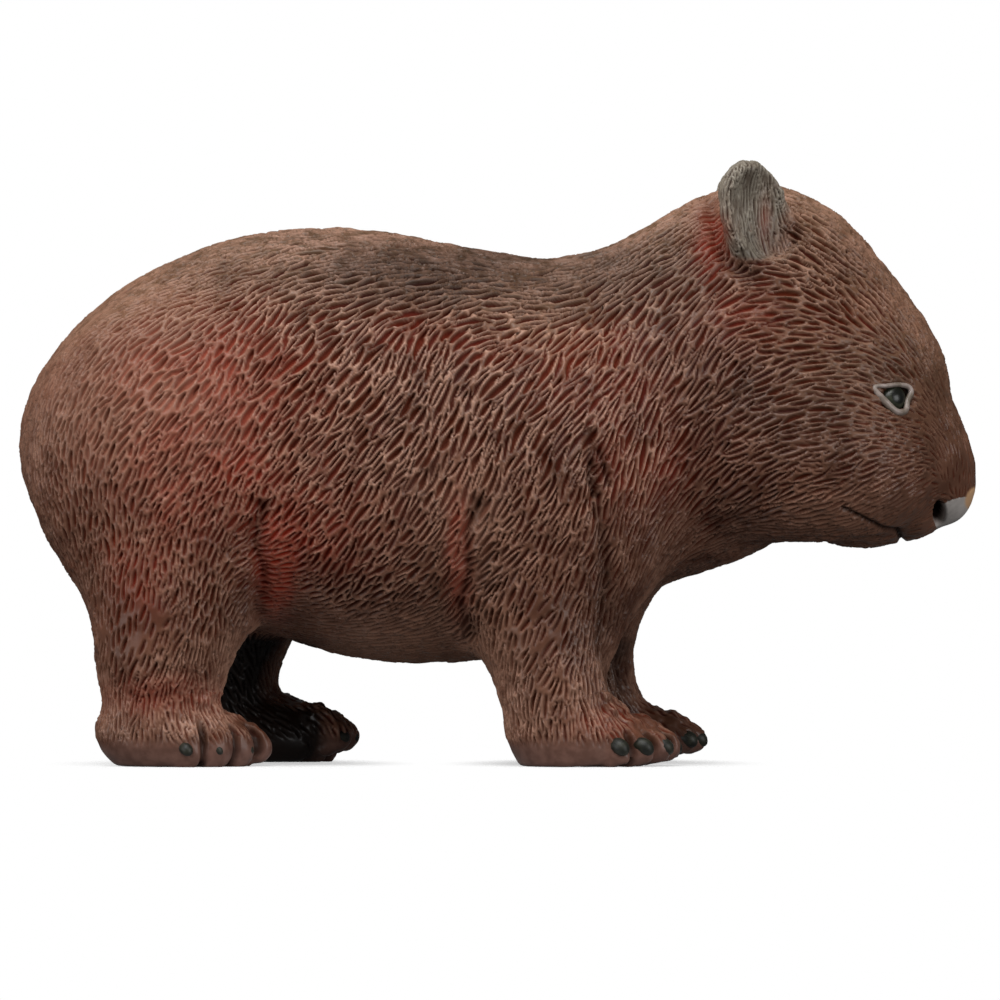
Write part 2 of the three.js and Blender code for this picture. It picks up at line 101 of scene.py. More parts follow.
paws = {
    "hind": {
        "middle": (-37, 3.1),
        "tips": [(9.9, -5, 1), (10.9, -1.9, 1), (8.9, 1.7, 0.95), (5.5, 5, 0.88), (2, 6.8, 0.8)],
        "toe": (4.2, 1.8, 2.4),
        "height": 3.1,
    },
    "front": {
        "middle": (9.6, 3),
        "tips": [(9.9, -4.7, 1), (11.1, -1.7, 1), (10.1, 1.4, 0.92), (7.8, 4.4, 0.8), (5, 6.1, 0.68)],
        "toe": (4.4, 1.75, 2.2),
        "height": 2.9,
    },
}
toeForm = {
    "pitch": -24,
    "blend": 0.6,
    "inside": 0.9,  # how much of its half length a toe reaches back from its tip
    "fan": 0.6,  # how far a toe turns towards the way from the paw's middle to its tip
    "top": 4,  # no toe is felt above this many heights
}
soleRise = {  # a front paw's sole rises from behind its middle to its toes
    "behind": 1.5,
    "slope": math.tan(math.radians(3)),
    "end": 25,
}
ear = {
    "at": (29.6, 10.6, 63.2),
    "outer": (4.6, 2.6, 6.3),
    "hollow": (4.7, 2.0, 5.6),
    "hollowShift": (0.7, 1.7, 0.1),
    "turn": -32,
    "leanBack": 18,
    "rootBlend": 1.4,
    "rim": 0.5,
    "coatEdge": (1.02, 1.14),  # the ear's own coat ends between these shares of its size
}


def smooth(low, high, value):
    t = np.clip((value - low) / (high - low), 0, 1)
    return t * t * (3 - 2 * t)


def axesOf(pitch, yaw=0.0):
    # the three axes of a mass that is pitched up and then turned outwards
    p, w = math.radians(pitch), math.radians(yaw)
    return np.array([
        (math.cos(p) * math.cos(w), math.cos(p) * math.sin(w), math.sin(p)),
        (-math.sin(w), math.cos(w), 0),
        (-math.sin(p) * math.cos(w), -math.sin(p) * math.sin(w), math.cos(p)),
    ], dtype=np.float32)


def massDistance(x, y, z, at, half, pitch=0, yaw=0):
    axes = axesOf(pitch, yaw)
    dx, dy, dz = x - at[0], y - at[1], z - at[2]
    near = np.zeros_like(dx)
    steep = np.zeros_like(dx)
    for axis, h in zip(axes, half):
        share = (axis[0] * dx + axis[1] * dy + axis[2] * dz) / h
        near += share * share
        steep += (share / h) ** 2
    near = np.sqrt(near)
    return near * (near - 1) / np.sqrt(np.maximum(steep, 1e-8))


def blended(a, b, reach):
    h = np.maximum(reach - np.abs(a - b), 0) / reach
    return np.minimum(a, b) - h * h * reach / 4


def bodyField(x, y, z):
    # distance from the skin in millimetres, negative inside
    x = x + drawing["middle"]
    away = np.abs(y)
    left = smooth(-drawing["crossing"], drawing["crossing"], y)
    d = None
    for at, half, pitch, reach in trunk.values():
        mass = massDistance(x, away, z, at, half, pitch)
        d = mass if d is None else blended(d, mass, reach)
    for end, masses in legs.items():
        step = left * drawing["stride"][end]
        for at, half, pitch, reach, share in masses:
            d = blended(d, massDistance(x - step * share, away, z, at, half, pitch), reach)
        lift = drawing["toeLift"][end]
        lift = lift[0] + left * (lift[1] - lift[0]) if isinstance(lift, tuple) else left * lift
        low = z < paws[end]["height"] * toeForm["top"]
        rising = z[low] - (lift[low] if isinstance(lift, np.ndarray) else lift)
        for at, half, yaw in toes(end):
            toe = massDistance(x[low] - step[low], away[low], rising, at, half, toeForm["pitch"], yaw)
            d[low] = blended(d[low], toe, toeForm["blend"])
    high = z > ear["at"][2] - 2 * ear["outer"][2]
    hx, hy, hz = x[high], away[high], z[high]
    angles = (ear["leanBack"], ear["turn"])
    hollowAt = np.array(ear["at"]) + np.array(ear["hollowShift"]) @ axesOf(*angles)
    shell = massDistance(hx, hy, hz, ear["at"], ear["outer"], *angles)
    hollow = massDistance(hx, hy, hz, hollowAt, ear["hollow"], *angles)
    d[high] = -blended(-blended(d[high], shell, ear["rootBlend"]), hollow, ear["rim"])
    ahead = x - left * drawing["stride"]["front"] - paws["front"]["middle"][0] + soleRise["behind"]
    sole = np.where(ahead < soleRise["end"], np.maximum(ahead, 0) * soleRise["slope"], 0)
    return -blended(-d, z - sole, drawing["soleEdge"])


def toes(end):
    # middle, half sizes and outward turn of each toe of one paw, on the left side
    paw = paws[end]
    long, wide, high = paw["toe"]
    for ahead, out, share in paw["tips"]:
        back = 1 - long * toeForm["inside"] / math.hypot(ahead, out)
        at = (paw["middle"][0] + ahead * back, spread + out * back, paw["height"] * share)
        yield at, (long, wide, high * share), math.degrees(math.atan2(out, ahead)) * toeForm["fan"]


skin = {
    "cell": 0.757,  # grid step of the first surface, and how often it is divided
    "divisions": 2,
    "margin": 2.0,
    "band": 3.0,  # distances are cut off at this
    "fixes": 3,  # rounds that draw the points onto the skin, and how much of the way each one goes
    "fixStep": 0.8,
    "leastSlope": 0.2,
}


def firstSurface():
    # quads on the skin, from a grid of distances
    low = np.array([c / mm - skin["margin"] for c in cadBox[0]], dtype=np.float32)
    high = np.array([c / mm + skin["margin"] for c in cadBox[1]], dtype=np.float32)
    cell = skin["cell"]
    counts = np.ceil((high - low) / cell).astype(int) + 1
    axes = [low[i] + cell * np.arange(counts[i], dtype=np.float32) for i in range(3)]
    far = bodyField(*np.meshgrid(*axes, indexing="ij"))
    grid = openvdb.FloatGrid(background=skin["band"])
    grid.copyFromArray(np.clip(far, -skin["band"], skin["band"]))
    points, quads = grid.convertToQuads()
    points = points.astype(np.float32) * cell + low
    for _ in range(skin["fixes"]):
        slope, far = slopeAt(points)
        steep = np.maximum((slope * slope).sum(1), skin["leastSlope"])
        points -= slope * (far / steep)[:, None] * skin["fixStep"]
    return points, quads


def slopeAt(points):
    h = 0.02
    here = bodyField(*points.T)
    slope = np.empty_like(points)
    for i in range(3):
        ahead = points.copy()
        ahead[:, i] += h
        slope[:, i] = (bodyField(*ahead.T) - here) / h
    return slope, here


def meshOf(name, points, faces, scale=mm):
    mesh = bpy.data.meshes.new(name)
    faces = np.asarray(faces, dtype=np.int32)
    mesh.vertices.add(len(points))
    mesh.vertices.foreach_set("co", (np.asarray(points, dtype=np.float32) * scale).ravel())
    mesh.loops.add(faces.size)
    mesh.loops.foreach_set("vertex_index", faces.ravel())
    mesh.polygons.add(len(faces))
    mesh.polygons.foreach_set("loop_start", np.arange(0, faces.size, faces.shape[1], dtype=np.int32))
    mesh.update(calc_edges=True)
    return mesh


def addObject(name, mesh):
    obj = bpy.data.objects.new(name, mesh)
    bpy.context.scene.collection.objects.link(obj)
    return obj


def readArray(items, attribute, width, kind=np.float32):
    out = np.empty(len(items) * width, dtype=kind)
    items.foreach_get(attribute, out)
    return out.reshape(-1, width) if width > 1 else out


noiseTable = np.random.default_rng(3).random((32, 32, 32)).astype(np.float32)


def cloud(points, size, seed=0):
    # soft random values from 0 to 1 in lumps of about this size
    p = points / size + seed * 7.3
    whole = np.floor(p).astype(np.int32)
    t = p - whole
    t = t * t * (3 - 2 * t)
    total = 0
    for corner in range(8):
        step = np.array([corner & 1, corner >> 1 & 1, corner >> 2])
        at = (whole + step) % 32
        share = np.where(step, t, 1 - t).prod(1)
        total = total + share * noiseTable[at[:, 0], at[:, 1], at[:, 2]]
    return total


# How the coat lies, seen from the side: place along and up, the way the strokes point (anticlockwise from
# ahead), then a pit's half length and half width, how closely the pits are set, their depth and how much
# pale paint the ridges carry.
lie = {
    "rump top": (-34, 57, 216, 1.4, 0.3, 0.9, 0.32, 0.75),
    "rump back": (-46, 50, 230, 1.2, 0.25, 0.9, 0.25, 0.6),
    "rump rear": (-52, 39, 250, 1.0, 0.24, 0.9, 0.21, 0.5),
    "rump low": (-49, 27, 265, 0.95, 0.23, 0.8, 0.21, 0.45),
    "haunch": (-36, 43, 237, 1.2, 0.3, 1, 0.29, 0.9),
    "thigh": (-31, 31, 245, 1.1, 0.29, 1, 0.29, 0.8),
    "thigh low": (-35, 22, 255, 0.9, 0.25, 0.85, 0.27, 0.45),
    "shank": (-41, 15, 256, 0.8, 0.21, 0.5, 0.27, 0.25),
    "hock": (-38, 9.5, 262, 1.5, 0.19, 0.95, 0.24, 0.7),
    "hind heel": (-44, 6, 266, 1.1, 0.17, 0.9, 0.2, 0.6),
    "hind instep": (-33, 8, 295, 1.6, 0.2, 1, 0.28, 0.9),
    "hind toes": (-28, 4.5, 318, 0.8, 0.2, 0.6, 0.14, 0.6),
    "hind crease": (-26, 22.5, 180, 0.5, 0.22, 0.8, 0.2, 0.3),
    "loin top": (-20, 58, 208, 1.95, 0.38, 1, 0.42, 1.1),
    "loin": (-22, 48, 236, 1.7, 0.35, 1, 0.3, 1),
    "flank": (-19, 37, 242, 1.55, 0.34, 1, 0.3, 1),
    "groin": (-22, 26, 228, 1.1, 0.29, 0.95, 0.28, 0.8),
    "belly side": (-14, 23, 226, 1.2, 0.3, 0.95, 0.28, 0.7),
    "belly": (-12, 13, 208, 1.1, 0.26, 0.85, 0.25, 0.5),
    "back": (-7, 55, 206, 2.0, 0.38, 1, 0.44, 1.1),
    "side": (-8, 45, 240, 1.8, 0.36, 1, 0.3, 1),
    "side low": (-6, 33, 245, 1.6, 0.34, 1, 0.3, 0.9),
    "behind elbow": (-4, 22, 232, 1.2, 0.28, 0.95, 0.28, 0.6),
    "withers": (6, 54, 208, 1.95, 0.38, 1, 0.42, 1.1),
    "shoulder top": (9, 47, 226, 1.85, 0.32, 1, 0.28, 0.9),
    "shoulder": (6, 38, 237, 1.7, 0.33, 1, 0.29, 0.9),
    "upper arm": (3, 27, 230, 1.15, 0.28, 0.95, 0.27, 0.7),
    "forearm": (6, 17, 238, 0.95, 0.23, 0.55, 0.28, 0.3),
    "forearm front": (11.5, 18, 262, 1.2, 0.2, 0.8, 0.24, 0.5),
    "forearm low": (7, 10.5, 246, 1.0, 0.22, 0.7, 0.26, 0.5),
    "front heel": (3, 6, 258, 1.3, 0.21, 0.95, 0.27, 0.8),
    "front instep": (11, 9, 300, 1.6, 0.22, 1, 0.3, 0.8),
    "front toes": (17, 5, 322, 0.9, 0.2, 0.6, 0.16, 0.6),
    "nape": (14, 57, 222, 1.92, 0.36, 1, 0.38, 1),
    "neck": (17, 47, 240, 1.92, 0.33, 1, 0.28, 0.9),
    "neck low": (15, 35, 258, 1.85, 0.32, 1, 0.28, 0.8),
    "chest": (15, 22, 250, 1.56, 0.24, 0.8, 0.22, 0.5),
    "nape top": (22, 63, 228, 1.7, 0.32, 0.95, 0.36, 0.8),
    "behind ear": (23, 54, 232, 1.7, 0.3, 0.95, 0.25, 0.6),
    "cheek rear": (24, 44, 230, 1.7, 0.3, 1, 0.28, 0.55),
    "throat": (21, 30, 228, 1.56, 0.24, 0.8, 0.22, 0.5),
    "below ear": (31, 52, 178, 1.6, 0.27, 0.95, 0.27, 0.4),
    "cheek": (31, 43, 205, 1.5, 0.27, 0.95, 0.26, 0.4),
    "jaw": (31, 31, 210, 1.2, 0.24, 0.9, 0.26, 0.4),
    "cheek front": (38, 45, 197, 1.4, 0.24, 0.9, 0.24, 0.35),
    "cheek low": (39, 36, 203, 1.3, 0.22, 0.8, 0.23, 0.35),
    "jaw front": (41, 29, 197, 1.0, 0.22, 0.8, 0.24, 0.45),
    "crown": (35, 61, 140, 1.9, 0.36, 1, 0.42, 0.7),
    "forehead": (41, 55, 137, 1.7, 0.33, 0.95, 0.4, 0.6),
    "forehead front": (48, 50, 122, 1.5, 0.24, 0.9, 0.25, 0.45),
    "brow": (44, 46, 160, 1.0, 0.19, 0.7, 0.18, 0.35),
    "before eye": (49, 41, 168, 0.8, 0.16, 0.6, 0.14, 0.4),
    "snout": (47, 35, 192, 0.9, 0.19, 0.75, 0.2, 0.4),
    "nose bridge": (53, 41, 110, 1.2, 0.2, 0.75, 0.19, 0.4),
    "muzzle": (54, 34, 95, 0.5, 0.13, 0.4, 0.08, 0.3),
    "lip": (48, 27, 190, 0.6, 0.15, 0.45, 0.12, 0.3),
}
coat = {
    "seed": 5,
    "reach": 2.4,  # how far a pit matters from its middle
    "long": 1.22,  # the named places' lengths, widths and depths times this
    "wide": 1.12,
    "deep": 1.35,
    "apart": (0.86, 0.98),  # how close two pits may be, along and across, as shares of a pit's size
    "small": {"size": 0.7, "gap": 0.26, "fill": 0.7},  # a second round fills the gaps this wide
    "least": 0.1,  # how closely the pits have to be set for there to be any
    "loosest": 0.06,
    "ridge": 0.06,  # half the ridge that is always left between two pits
    "wall": 0.28,  # how far inside its edge a pit is at its full depth
    "shore": (-0.02, 0.17),  # the dark wash sets in between these places, from a pit's edge inwards
    "crest": {"high": 0.15, "half": 0.23, "near": (0.3, 0.1), "fill": (0.1, 0.9)},
    "ends": {"less": 0.8, "along": (0.55, 0.95)},  # the ridges sink at a pit's two ends
    "uneven": (0.65, 0.7),  # the share of its depth that every pit has, and what it may have on top
    "slant": 0.25,  # a pit is this much deeper at its start, and shallower at its end
    "tuft": {"high": 0.3, "size": 1.5},  # the whole coat is a little lumpy
    "bend": 0.09,
    "vary": (0.34, 0.18),  # of a pit's length and width
    "turn": 0.13,
    "sway": {"radians": 0.3, "size": 6},  # how far the lie wanders, in lumps of this size
    "follow": 3.6,  # how far round a named place the lie follows it
    "sole": (2.0, 3.6),  # the coat ends in a smooth band between these heights
    "nose": (-0.1, 0.5),  # and between these distances from the nose pad
}
earCoat = {
    "tip": (28.6, 70.5),
    "fan": 3.2,  # degrees that the strokes spread for each millimetre ahead of the tip
    "turnIn": {"degrees": 42, "down": (6, 11), "ahead": (1.5, -2)},  # ahead along the low rear rim
    "stroke": (1.9, 0.17, 0.9, 0.22, 0.9),
    "front": (30.2, 32.8),  # the grey paint fades into the head's brown between these places
    "frontLean": (0.35, 60),  # which lean ahead as they go up from this height
}


def earShare(points):
    # 1 on the ears, 0 on the head round them
    away = np.stack([points[:, 0] + drawing["middle"], np.abs(points[:, 1]), points[:, 2]], 1) - ear["at"]
    local = away @ axesOf(ear["leanBack"], ear["turn"]).T
    near = np.linalg.norm(local / ear["outer"], axis=1)
    return 1 - smooth(*ear["coatEdge"], near)


def lieOf(points):
    # the named places' values, blended by nearness in the side view, with the ears' own laid over them
    rows = np.array(list(lie.values()), dtype=np.float32)
    turn = np.radians(rows[:, 2:3])
    values = np.hstack([np.cos(turn), np.sin(turn), rows[:, 3:]])
    out = np.empty((len(points), values.shape[1]), dtype=np.float32)
    for part in np.array_split(np.arange(len(points)), 6):
        away = (points[part, 0:1] - rows[:, 0]) ** 2 + (points[part, 2:3] - rows[:, 1]) ** 2
        weight = 1 / (away + coat["follow"] ** 2) ** 2
        out[part] = weight @ values / weight.sum(1, keepdims=True)
    sway = coat["sway"]["radians"] * (cloud(points, coat["sway"]["size"], 4) - 0.5) * 2
    cosine, sine = np.cos(sway), np.sin(sway)
    out[:, 0], out[:, 1] = out[:, 0] * cosine - out[:, 1] * sine, out[:, 0] * sine + out[:, 1] * cosine
    out[:, 2] *= coat["long"]
    out[:, 3] *= coat["wide"]
    out[:, 5] *= coat["deep"]
    share = earShare(points)[:, None]
    ahead, down = points[:, 0] - earCoat["tip"][0], earCoat["tip"][1] - points[:, 2]
    turnIn = earCoat["turnIn"]
    inward = turnIn["degrees"] * smooth(*turnIn["down"], down) * smooth(*turnIn["ahead"], ahead)
    angle = np.radians(270 + earCoat["fan"] * ahead + inward)
    strokes = np.tile(np.float32(earCoat["stroke"]), (len(points), 1))
    own = np.hstack([np.cos(angle)[:, None], np.sin(angle)[:, None], strokes])
    return out * (1 - share) + own * share


class Bins:
    # points sorted into cubes, to find the ones near a place
    def __init__(self, points, size):
        self.size = size
        keys = np.floor(points / size).astype(np.int64)
        self.low = keys.min(0) - 1
        keys -= self.low
        self.span = keys.max(0) + 2
        flat = (keys[:, 0] * self.span[1] + keys[:, 1]) * self.span[2] + keys[:, 2]
        self.order = np.argsort(flat, kind="stable").astype(np.int32)
        filled, starts = np.unique(flat[self.order], return_index=True)
        ends = np.append(starts[1:], len(flat))
        self.where = {int(c): self.order[a:b] for c, a, b in zip(filled, starts, ends)}

    def around(self, point):
        x, y, z = (np.floor(point / self.size).astype(np.int64) - self.low).tolist()
        found = []
        for i in (x - 1, x, x + 1):
            for j in (y - 1, y, y + 1):
                base = (i * int(self.span[1]) + j) * int(self.span[2]) + z
                for c in (base - 1, base, base + 1):
                    some = self.where.get(c)
                    if some is not None:
                        found.append(some)
        return np.concatenate(found)


def unit(v):
    return v / np.linalg.norm(v, axis=-1, keepdims=True)


def carveCoat(points, normals):
    # height of the moulded coat at every point, and what the paint needs to know about it
    rng = np.random.default_rng(coat["seed"])
    values = lieOf(points)
    lean = np.stack([values[:, 0], np.zeros(len(points), np.float32), values[:, 1]], 1)
    lean = unit(lean)
    lean -= normals * (lean * normals).sum(1, keepdims=True)
    lean = unit(lean + 1e-6)
    long, wide, fill, deep = values[:, 2], values[:, 3], values[:, 4], values[:, 5]
    coated = smooth(*coat["sole"], points[:, 2])
    bare = massDistance(*points.T, nosePad["at"], nosePad["half"], nosePad["pitch"])
    fill = fill * coated * smooth(*coat["nose"], bare)
    bins = Bins(points, coat["reach"])
    first = np.full(len(points), 9, np.float32)
    second = first.copy()
    owner = np.zeros(len(points), np.int32)
    along = np.zeros(len(points), np.float32)
    tints = [0.0]
    small = coat["small"]
    for scale in (1, small["size"]):
        covered = fill < coat["least"]
        if scale < 1:
            covered |= (first < small["gap"]) | (fill < small["fill"])
        for i in rng.permutation(len(points)):
            if covered[i]:
                continue
            size = scale * (1 + coat["vary"] * rng.uniform(-1, 1, 2))
            halfLong, halfWide = long[i] * size[0], wide[i] * size[1]
            ahead, up = lean[i], normals[i]
            turn = rng.normal(0, coat["turn"])
            across = np.cross(up, ahead)
            ahead = ahead * math.cos(turn) + across * math.sin(turn)
            across = np.cross(up, ahead)
            near = bins.around(points[i])
            away = points[near] - points[i]
            u, v, w = away @ ahead, away @ across, away @ up
            v -= rng.uniform(-1, 1) * coat["bend"] * u * u
            share = np.hypot(u / halfLong, v / halfWide) + 1e-4
            egg = share * (share - 1) / (np.hypot(u / halfLong ** 2, v / halfWide ** 2) + 1e-4 / halfWide)
            egg += w * w
            nearer = egg < first[near]
            second[near] = np.where(nearer, first[near], np.minimum(second[near], egg))
            first[near] = np.where(nearer, egg, first[near])
            owner[near[nearer]] = len(tints)
            along[near[nearer]] = u[nearer] / halfLong
            loose = 2 / math.sqrt(max(fill[i], coat["loosest"]))
            ownLong, ownWide = halfLong * coat["apart"][0] * loose, halfWide * coat["apart"][1] * loose
            covered[near[(u / ownLong) ** 2 + (v / ownWide) ** 2 + (w / ownLong) ** 2 < 1]] = True
            tints.append(rng.uniform())
        print("coat:", len(tints), "pits")
    tint = np.array(tints, dtype=np.float32)[owner]
    inside = np.minimum(-first, (second - first) / 2 - coat["ridge"])
    pit = 1 - (1 - np.clip(inside / coat["wall"], 0, 1)) ** 2
    dark = smooth(*coat["shore"], inside)
    ridge, ends = coat["crest"], coat["ends"]
    crest = np.exp(-((second - first) / ridge["half"]) ** 2)
    crest = crest * smooth(*ridge["near"], first) * smooth(*ridge["fill"], fill)
    crest *= 1 - ends["less"] * smooth(*ends["along"], np.abs(along))
    slant = 1 - coat["slant"] * np.clip(along, -1, 1)
    always, more = coat["uneven"]
    height = ridge["high"] * crest - deep * (always + more * tint) * slant * pit * coated
    height += coat["tuft"]["high"] * (cloud(points, coat["tuft"]["size"], 9) - 0.5) * fill
    return height, {"pit": dark * coated, "crest": crest, "tint": tint, "light": values[:, 6]}


# Folds pressed into the skin, in the side view: their line, depth, half width and the leg they move with.
folds = {
    "mouth": ([(39.2, 29.6), (41.6, 28.4), (44.1, 27.1)], 0.45, 0.27, None),
    "lip notch": ([(44.1, 27.1), (45.8, 26.9), (46.5, 25.4)], 0.55, 0.3, None),
    "elbow": ([(-2.4, 30), (-3.9, 26.4), (-3.6, 22), (-4.6, 18.5), (-3.4, 15)], 0.8, 0.75, "front"),
    "thigh": ([(-27, 29.5), (-27.9, 25.5), (-26.9, 21.8), (-27.7, 17.5)], 0.9, 0.9, "hind"),
    "arm": ([(10.3, 38), (11.1, 30.5), (12.2, 22), (11.6, 14), (13.1, 8.9)], 0.7, 0.8, "front"),
    "pleat": ([(10.5, 34.7), (10.3, 32.8), (11.1, 30.8)], 0.6, 0.42, "front"),
    "second pleat": ([(11.5, 36), (12.1, 33.9), (12.4, 32.2)], 0.45, 0.42, "front"),
    "ear root": ([(24.2, 64.6), (24.6, 61), (26.1, 57.6), (29.3, 56.2)], 0.6, 0.9, None),
}
dents = {  # place in the side view, half sizes and depth
    "eye": ((45.6, 42.35), (1.5, 1.35), 1.5),
    "nostril": ((50.6, 28.9), (0.6, 1.2), 1.8),
}
swellings = {
    "brow": ((44.8, 46.2), (3, 1.3), 0.45),
    "cheekbone": ((42.5, 39.6), (3, 1.2), 0.25),
    "lip corner": ((37.6, 30.4), (1.2, 1.2), 0.3),
}
pressed = {
    "from": (2.0, 3.0),  # folds at a leg, dents and swellings begin this far from the middle plane
    "stride": 0.4,  # the share of a leg's stride that its folds take
    "foldWashAndShade": (0.2, 0.15, 0.75),  # the least dark wash in a fold, partly painted shade, what a narrow one has more, and the most
    "dentWashAndShade": 2,
}


def nearLine(x, z, line):
    # distance in the side view from a chain of places
    best = np.full(len(x), 99, np.float32)
    for (x0, z0), (x1, z1) in zip(line, line[1:]):
        dx, dz = x1 - x0, z1 - z0
        t = np.clip(((x - x0) * dx + (z - z0) * dz) / (dx * dx + dz * dz), 0, 1)
        best = np.minimum(best, np.hypot(x - x0 - t * dx, z - z0 - t * dz))
    return best


def foldSkin(points):
    # height of the folds, dents and swellings, and how much dark wash, partly painted shade, has run into
    # them
    x, y, z = points.T
    left = smooth(-1, 1, y)
    outer = smooth(*pressed["from"], np.abs(y))
    least, narrow, most = pressed["foldWashAndShade"]
    height = np.zeros(len(points), np.float32)
    washAndShade = height.copy()
    for line, depth, half, leg in folds.values():
        moved = x - left * drawing["stride"][leg] * pressed["stride"] if leg else x
        share = np.exp(-(nearLine(moved, z, line) / half) ** 2) * (outer if leg else 1)
        height -= depth * share
        washAndShade = np.maximum(washAndShade, share * min(most, narrow / half + least))
    for (dx, dz), (long, high), depth in dents.values():
        near = ((x - dx) / long) ** 2 + ((z - dz) / high) ** 2
        share = np.exp(-near ** 2) * outer
        height -= depth * share
        washAndShade = np.maximum(washAndShade, np.minimum(1, share * pressed["dentWashAndShade"]))
    for (dx, dz), (long, high), rise in swellings.values():
        height += rise * np.exp(-((x - dx) / long) ** 2 - ((z - dz) / high) ** 2) * outer
    return height, washAndShade


knuckles = {"near": 2.4, "high": 0.8, "size": 1.05, "top": 8.5, "worn": 0.6}
lobe = {  # a swelling along each toe, between these shares of the way to its tip
    "way": (0.7, 0.97),
    "half": 1.2,
    "high": 0.3,
    "top": {"hind": (3.6, 5), "front": (3.2, 4.6)},
}
cleft = {  # a groove between two toes
    "way": (0.6, 1.12),
    "half": 0.45,
    "depth": 0.6,
    "top": {"hind": (3.8, 5.8), "front": (3, 4.8)},
    "washAndShade": 0.8,
}


def toeShare(points):
    # 1 on the toes, 0 a little behind them
    share = np.zeros(len(points), np.float32)
    low = np.nonzero(points[:, 2] < knuckles["top"])[0]
    x, y = points[low, 0] + drawing["middle"], points[low, 1]
    for end in paws:
        step = (y > 0) * drawing["stride"][end]
        for (tx, ty, _), _, _ in toes(end):
            near = np.hypot(x - step - tx, np.abs(y) - ty) / knuckles["near"]
            share[low] = np.maximum(share[low], np.exp(-near ** 4))
    return share


def toeLines(points, form, outwards):
    # 1 near the lines that run out from each paw's middle, at the given places, fading towards the ankle
    share = np.zeros(len(points), np.float32)
    for end, paw in paws.items():
        low = np.nonzero(points[:, 2] < form["top"][end][1])[0]
        x, y, z = points[low, 0] + drawing["middle"], points[low, 1], points[low, 2]
        step = (y > 0) * drawing["stride"][end]
        u, v = x - step - paw["middle"][0], np.abs(y) - spread
        for ahead, out in outwards(paw["tips"]):
            line = [(ahead * k, out * k) for k in form["way"]]
            deep = np.exp(-(nearLine(u, v, line) / form["half"]) ** 4)
            share[low] = np.maximum(share[low], deep * (1 - smooth(*form["top"][end], z)))
    return share


def betweenTips(tips):
    return [((a[0] + b[0]) / 2, (a[1] + b[1]) / 2) for a, b in zip(tips, tips[1:])]


# Airbrushed paint, as soft spots in the side view: place along and up, half sizes and strength.
redSpots = {
    "haunch": ((-34.5, 44), (11, 8), 0.95),
    "thigh": ((-33, 33), (10, 7), 0.8),
    "leg rear": ((-41, 22), (4, 6), 0.35),
    "hind crease": ((-25.5, 22.3), (1.9, 4.2), 2.0),
    "flank": ((-19.5, 26), (7, 5), 0.5),
    "behind elbow": ((-4.7, 23), (1.2, 6.5), 1.5),
    "loin": ((-9.7, 50), (5, 2.4), 0.4),
    "side": ((-1, 48), (4, 2), 0.3),
    "neck": ((11.5, 46.5), (7, 6), 0.35),
    "throat": ((18, 34), (6, 5), 0.35),
    "cheek": ((28, 51.3), (4.5, 3.2), 0.3),
    "temple": ((38, 51), (5, 3), 0.15),
    "behind ear": ((24.3, 60.5), (1.9, 3.4), 1.6),
    "ear": ((30.4, 62), (0.9, 3.4), 0.8),
    "hock": ((-37.5, 8.2), (6, 2), 0.8),
    "front instep": ((11.6, 5), (4, 1.8), 0.25),
}
# Pale and dark clouds of paint, in the same way: a positive strength is pale. They are largely painted light
# and shade: the haunch, rump, belly and jaw are lighter where more light would fall, and the cheek and ear
# hollow are darker as shade; the rest is the paint's own tone.
shadeAndToneSpots = {
    "rump": ((-45, 42), (10, 10), 0.6),
    "haunch": ((-36, 42), (10, 10), 0.6),
    "hind foot": ((-37, 5), (9, 4), 0.2),
    "front instep": ((12.3, 5.2), (3.6, 1.8), -0.3),
    "ear hollow": ((30.3, 60), (2.2, 3.2), -0.4),
    "elbow": ((-3.5, 24), (5, 8), 0.7),
    "front foot": ((8, 5), (7, 4), 0.3),
    "back": ((-6, 57), (24, 4.5), -0.8),
    "ear front": ((33.3, 60.3), (1.6, 2.4), -0.6),
    "neck": ((16, 46), (9, 12), -0.22),
    "forearm": ((8, 16), (6, 6), -0.4),
    "cheek": ((34, 39), (10, 9), -0.45),
    "snout": ((48, 34), (6, 7), -0.1),
    "jaw": ((40, 28.5), (11, 4.5), 0.8),
    "belly": ((-12, 13), (14, 4), 1.6),
    "throat": ((20, 20), (7, 8), -0.2),
}
# The inner sides of the legs are painted dark as painted shade, the front pair less.
inner = {
    "away": (14.0, 7.0),
    "low": (16, 13.5),
    "legs": {"hind": (-18.5, -22.5), "front": (2, 6)},
    "dark": {"hind": 1.8, "front": 0.7},
}
# Brushed olive paint, lighter than the coat: on what faces up on the back, where it is partly painted light
# from above, and all over the head.
oliveAndTopLight = {
    "facing": (0.2, 0.9),
    "high": (36, 52),
    "head": {"share": 0.5, "ahead": (24, 40), "high": (28, 50)},
}


def sprayed(points, spots):
    total = 0
    for (x, z), (long, high), strength in spots.values():
        away = ((points[:, 0] - x) / long) ** 2 + ((points[:, 2] - z) / high) ** 2
        total = total + strength * np.exp(-away)
    return total


# pale and dark paint, largely painted light and shade, over a little uneven tone
def shadeAndToneOf(points):
    x, y, z = points.T
    # painted shade: the inner sides of the legs are darkened
    inside = smooth(*inner["away"], np.abs(y)) * smooth(*inner["low"], z)
    dark = sum(inner["dark"][leg] * smooth(*place, x) for leg, place in inner["legs"].items())
    return sprayed(points, shadeAndToneSpots) - dark * inside + 0.3 * (cloud(points, 5, 8) - 0.5)


def redOf(points):
    return sprayed(points, redSpots) * (0.5 + cloud(points, 3, 2))


def oliveAndTopLightOf(points, normals):
    x, y, z = points.T
    head = oliveAndTopLight["head"]
    back = smooth(*oliveAndTopLight["facing"], normals[:, 2]) * smooth(*oliveAndTopLight["high"], z)
    return np.maximum(back, head["share"] * smooth(*head["ahead"], x) * smooth(*head["high"], z))


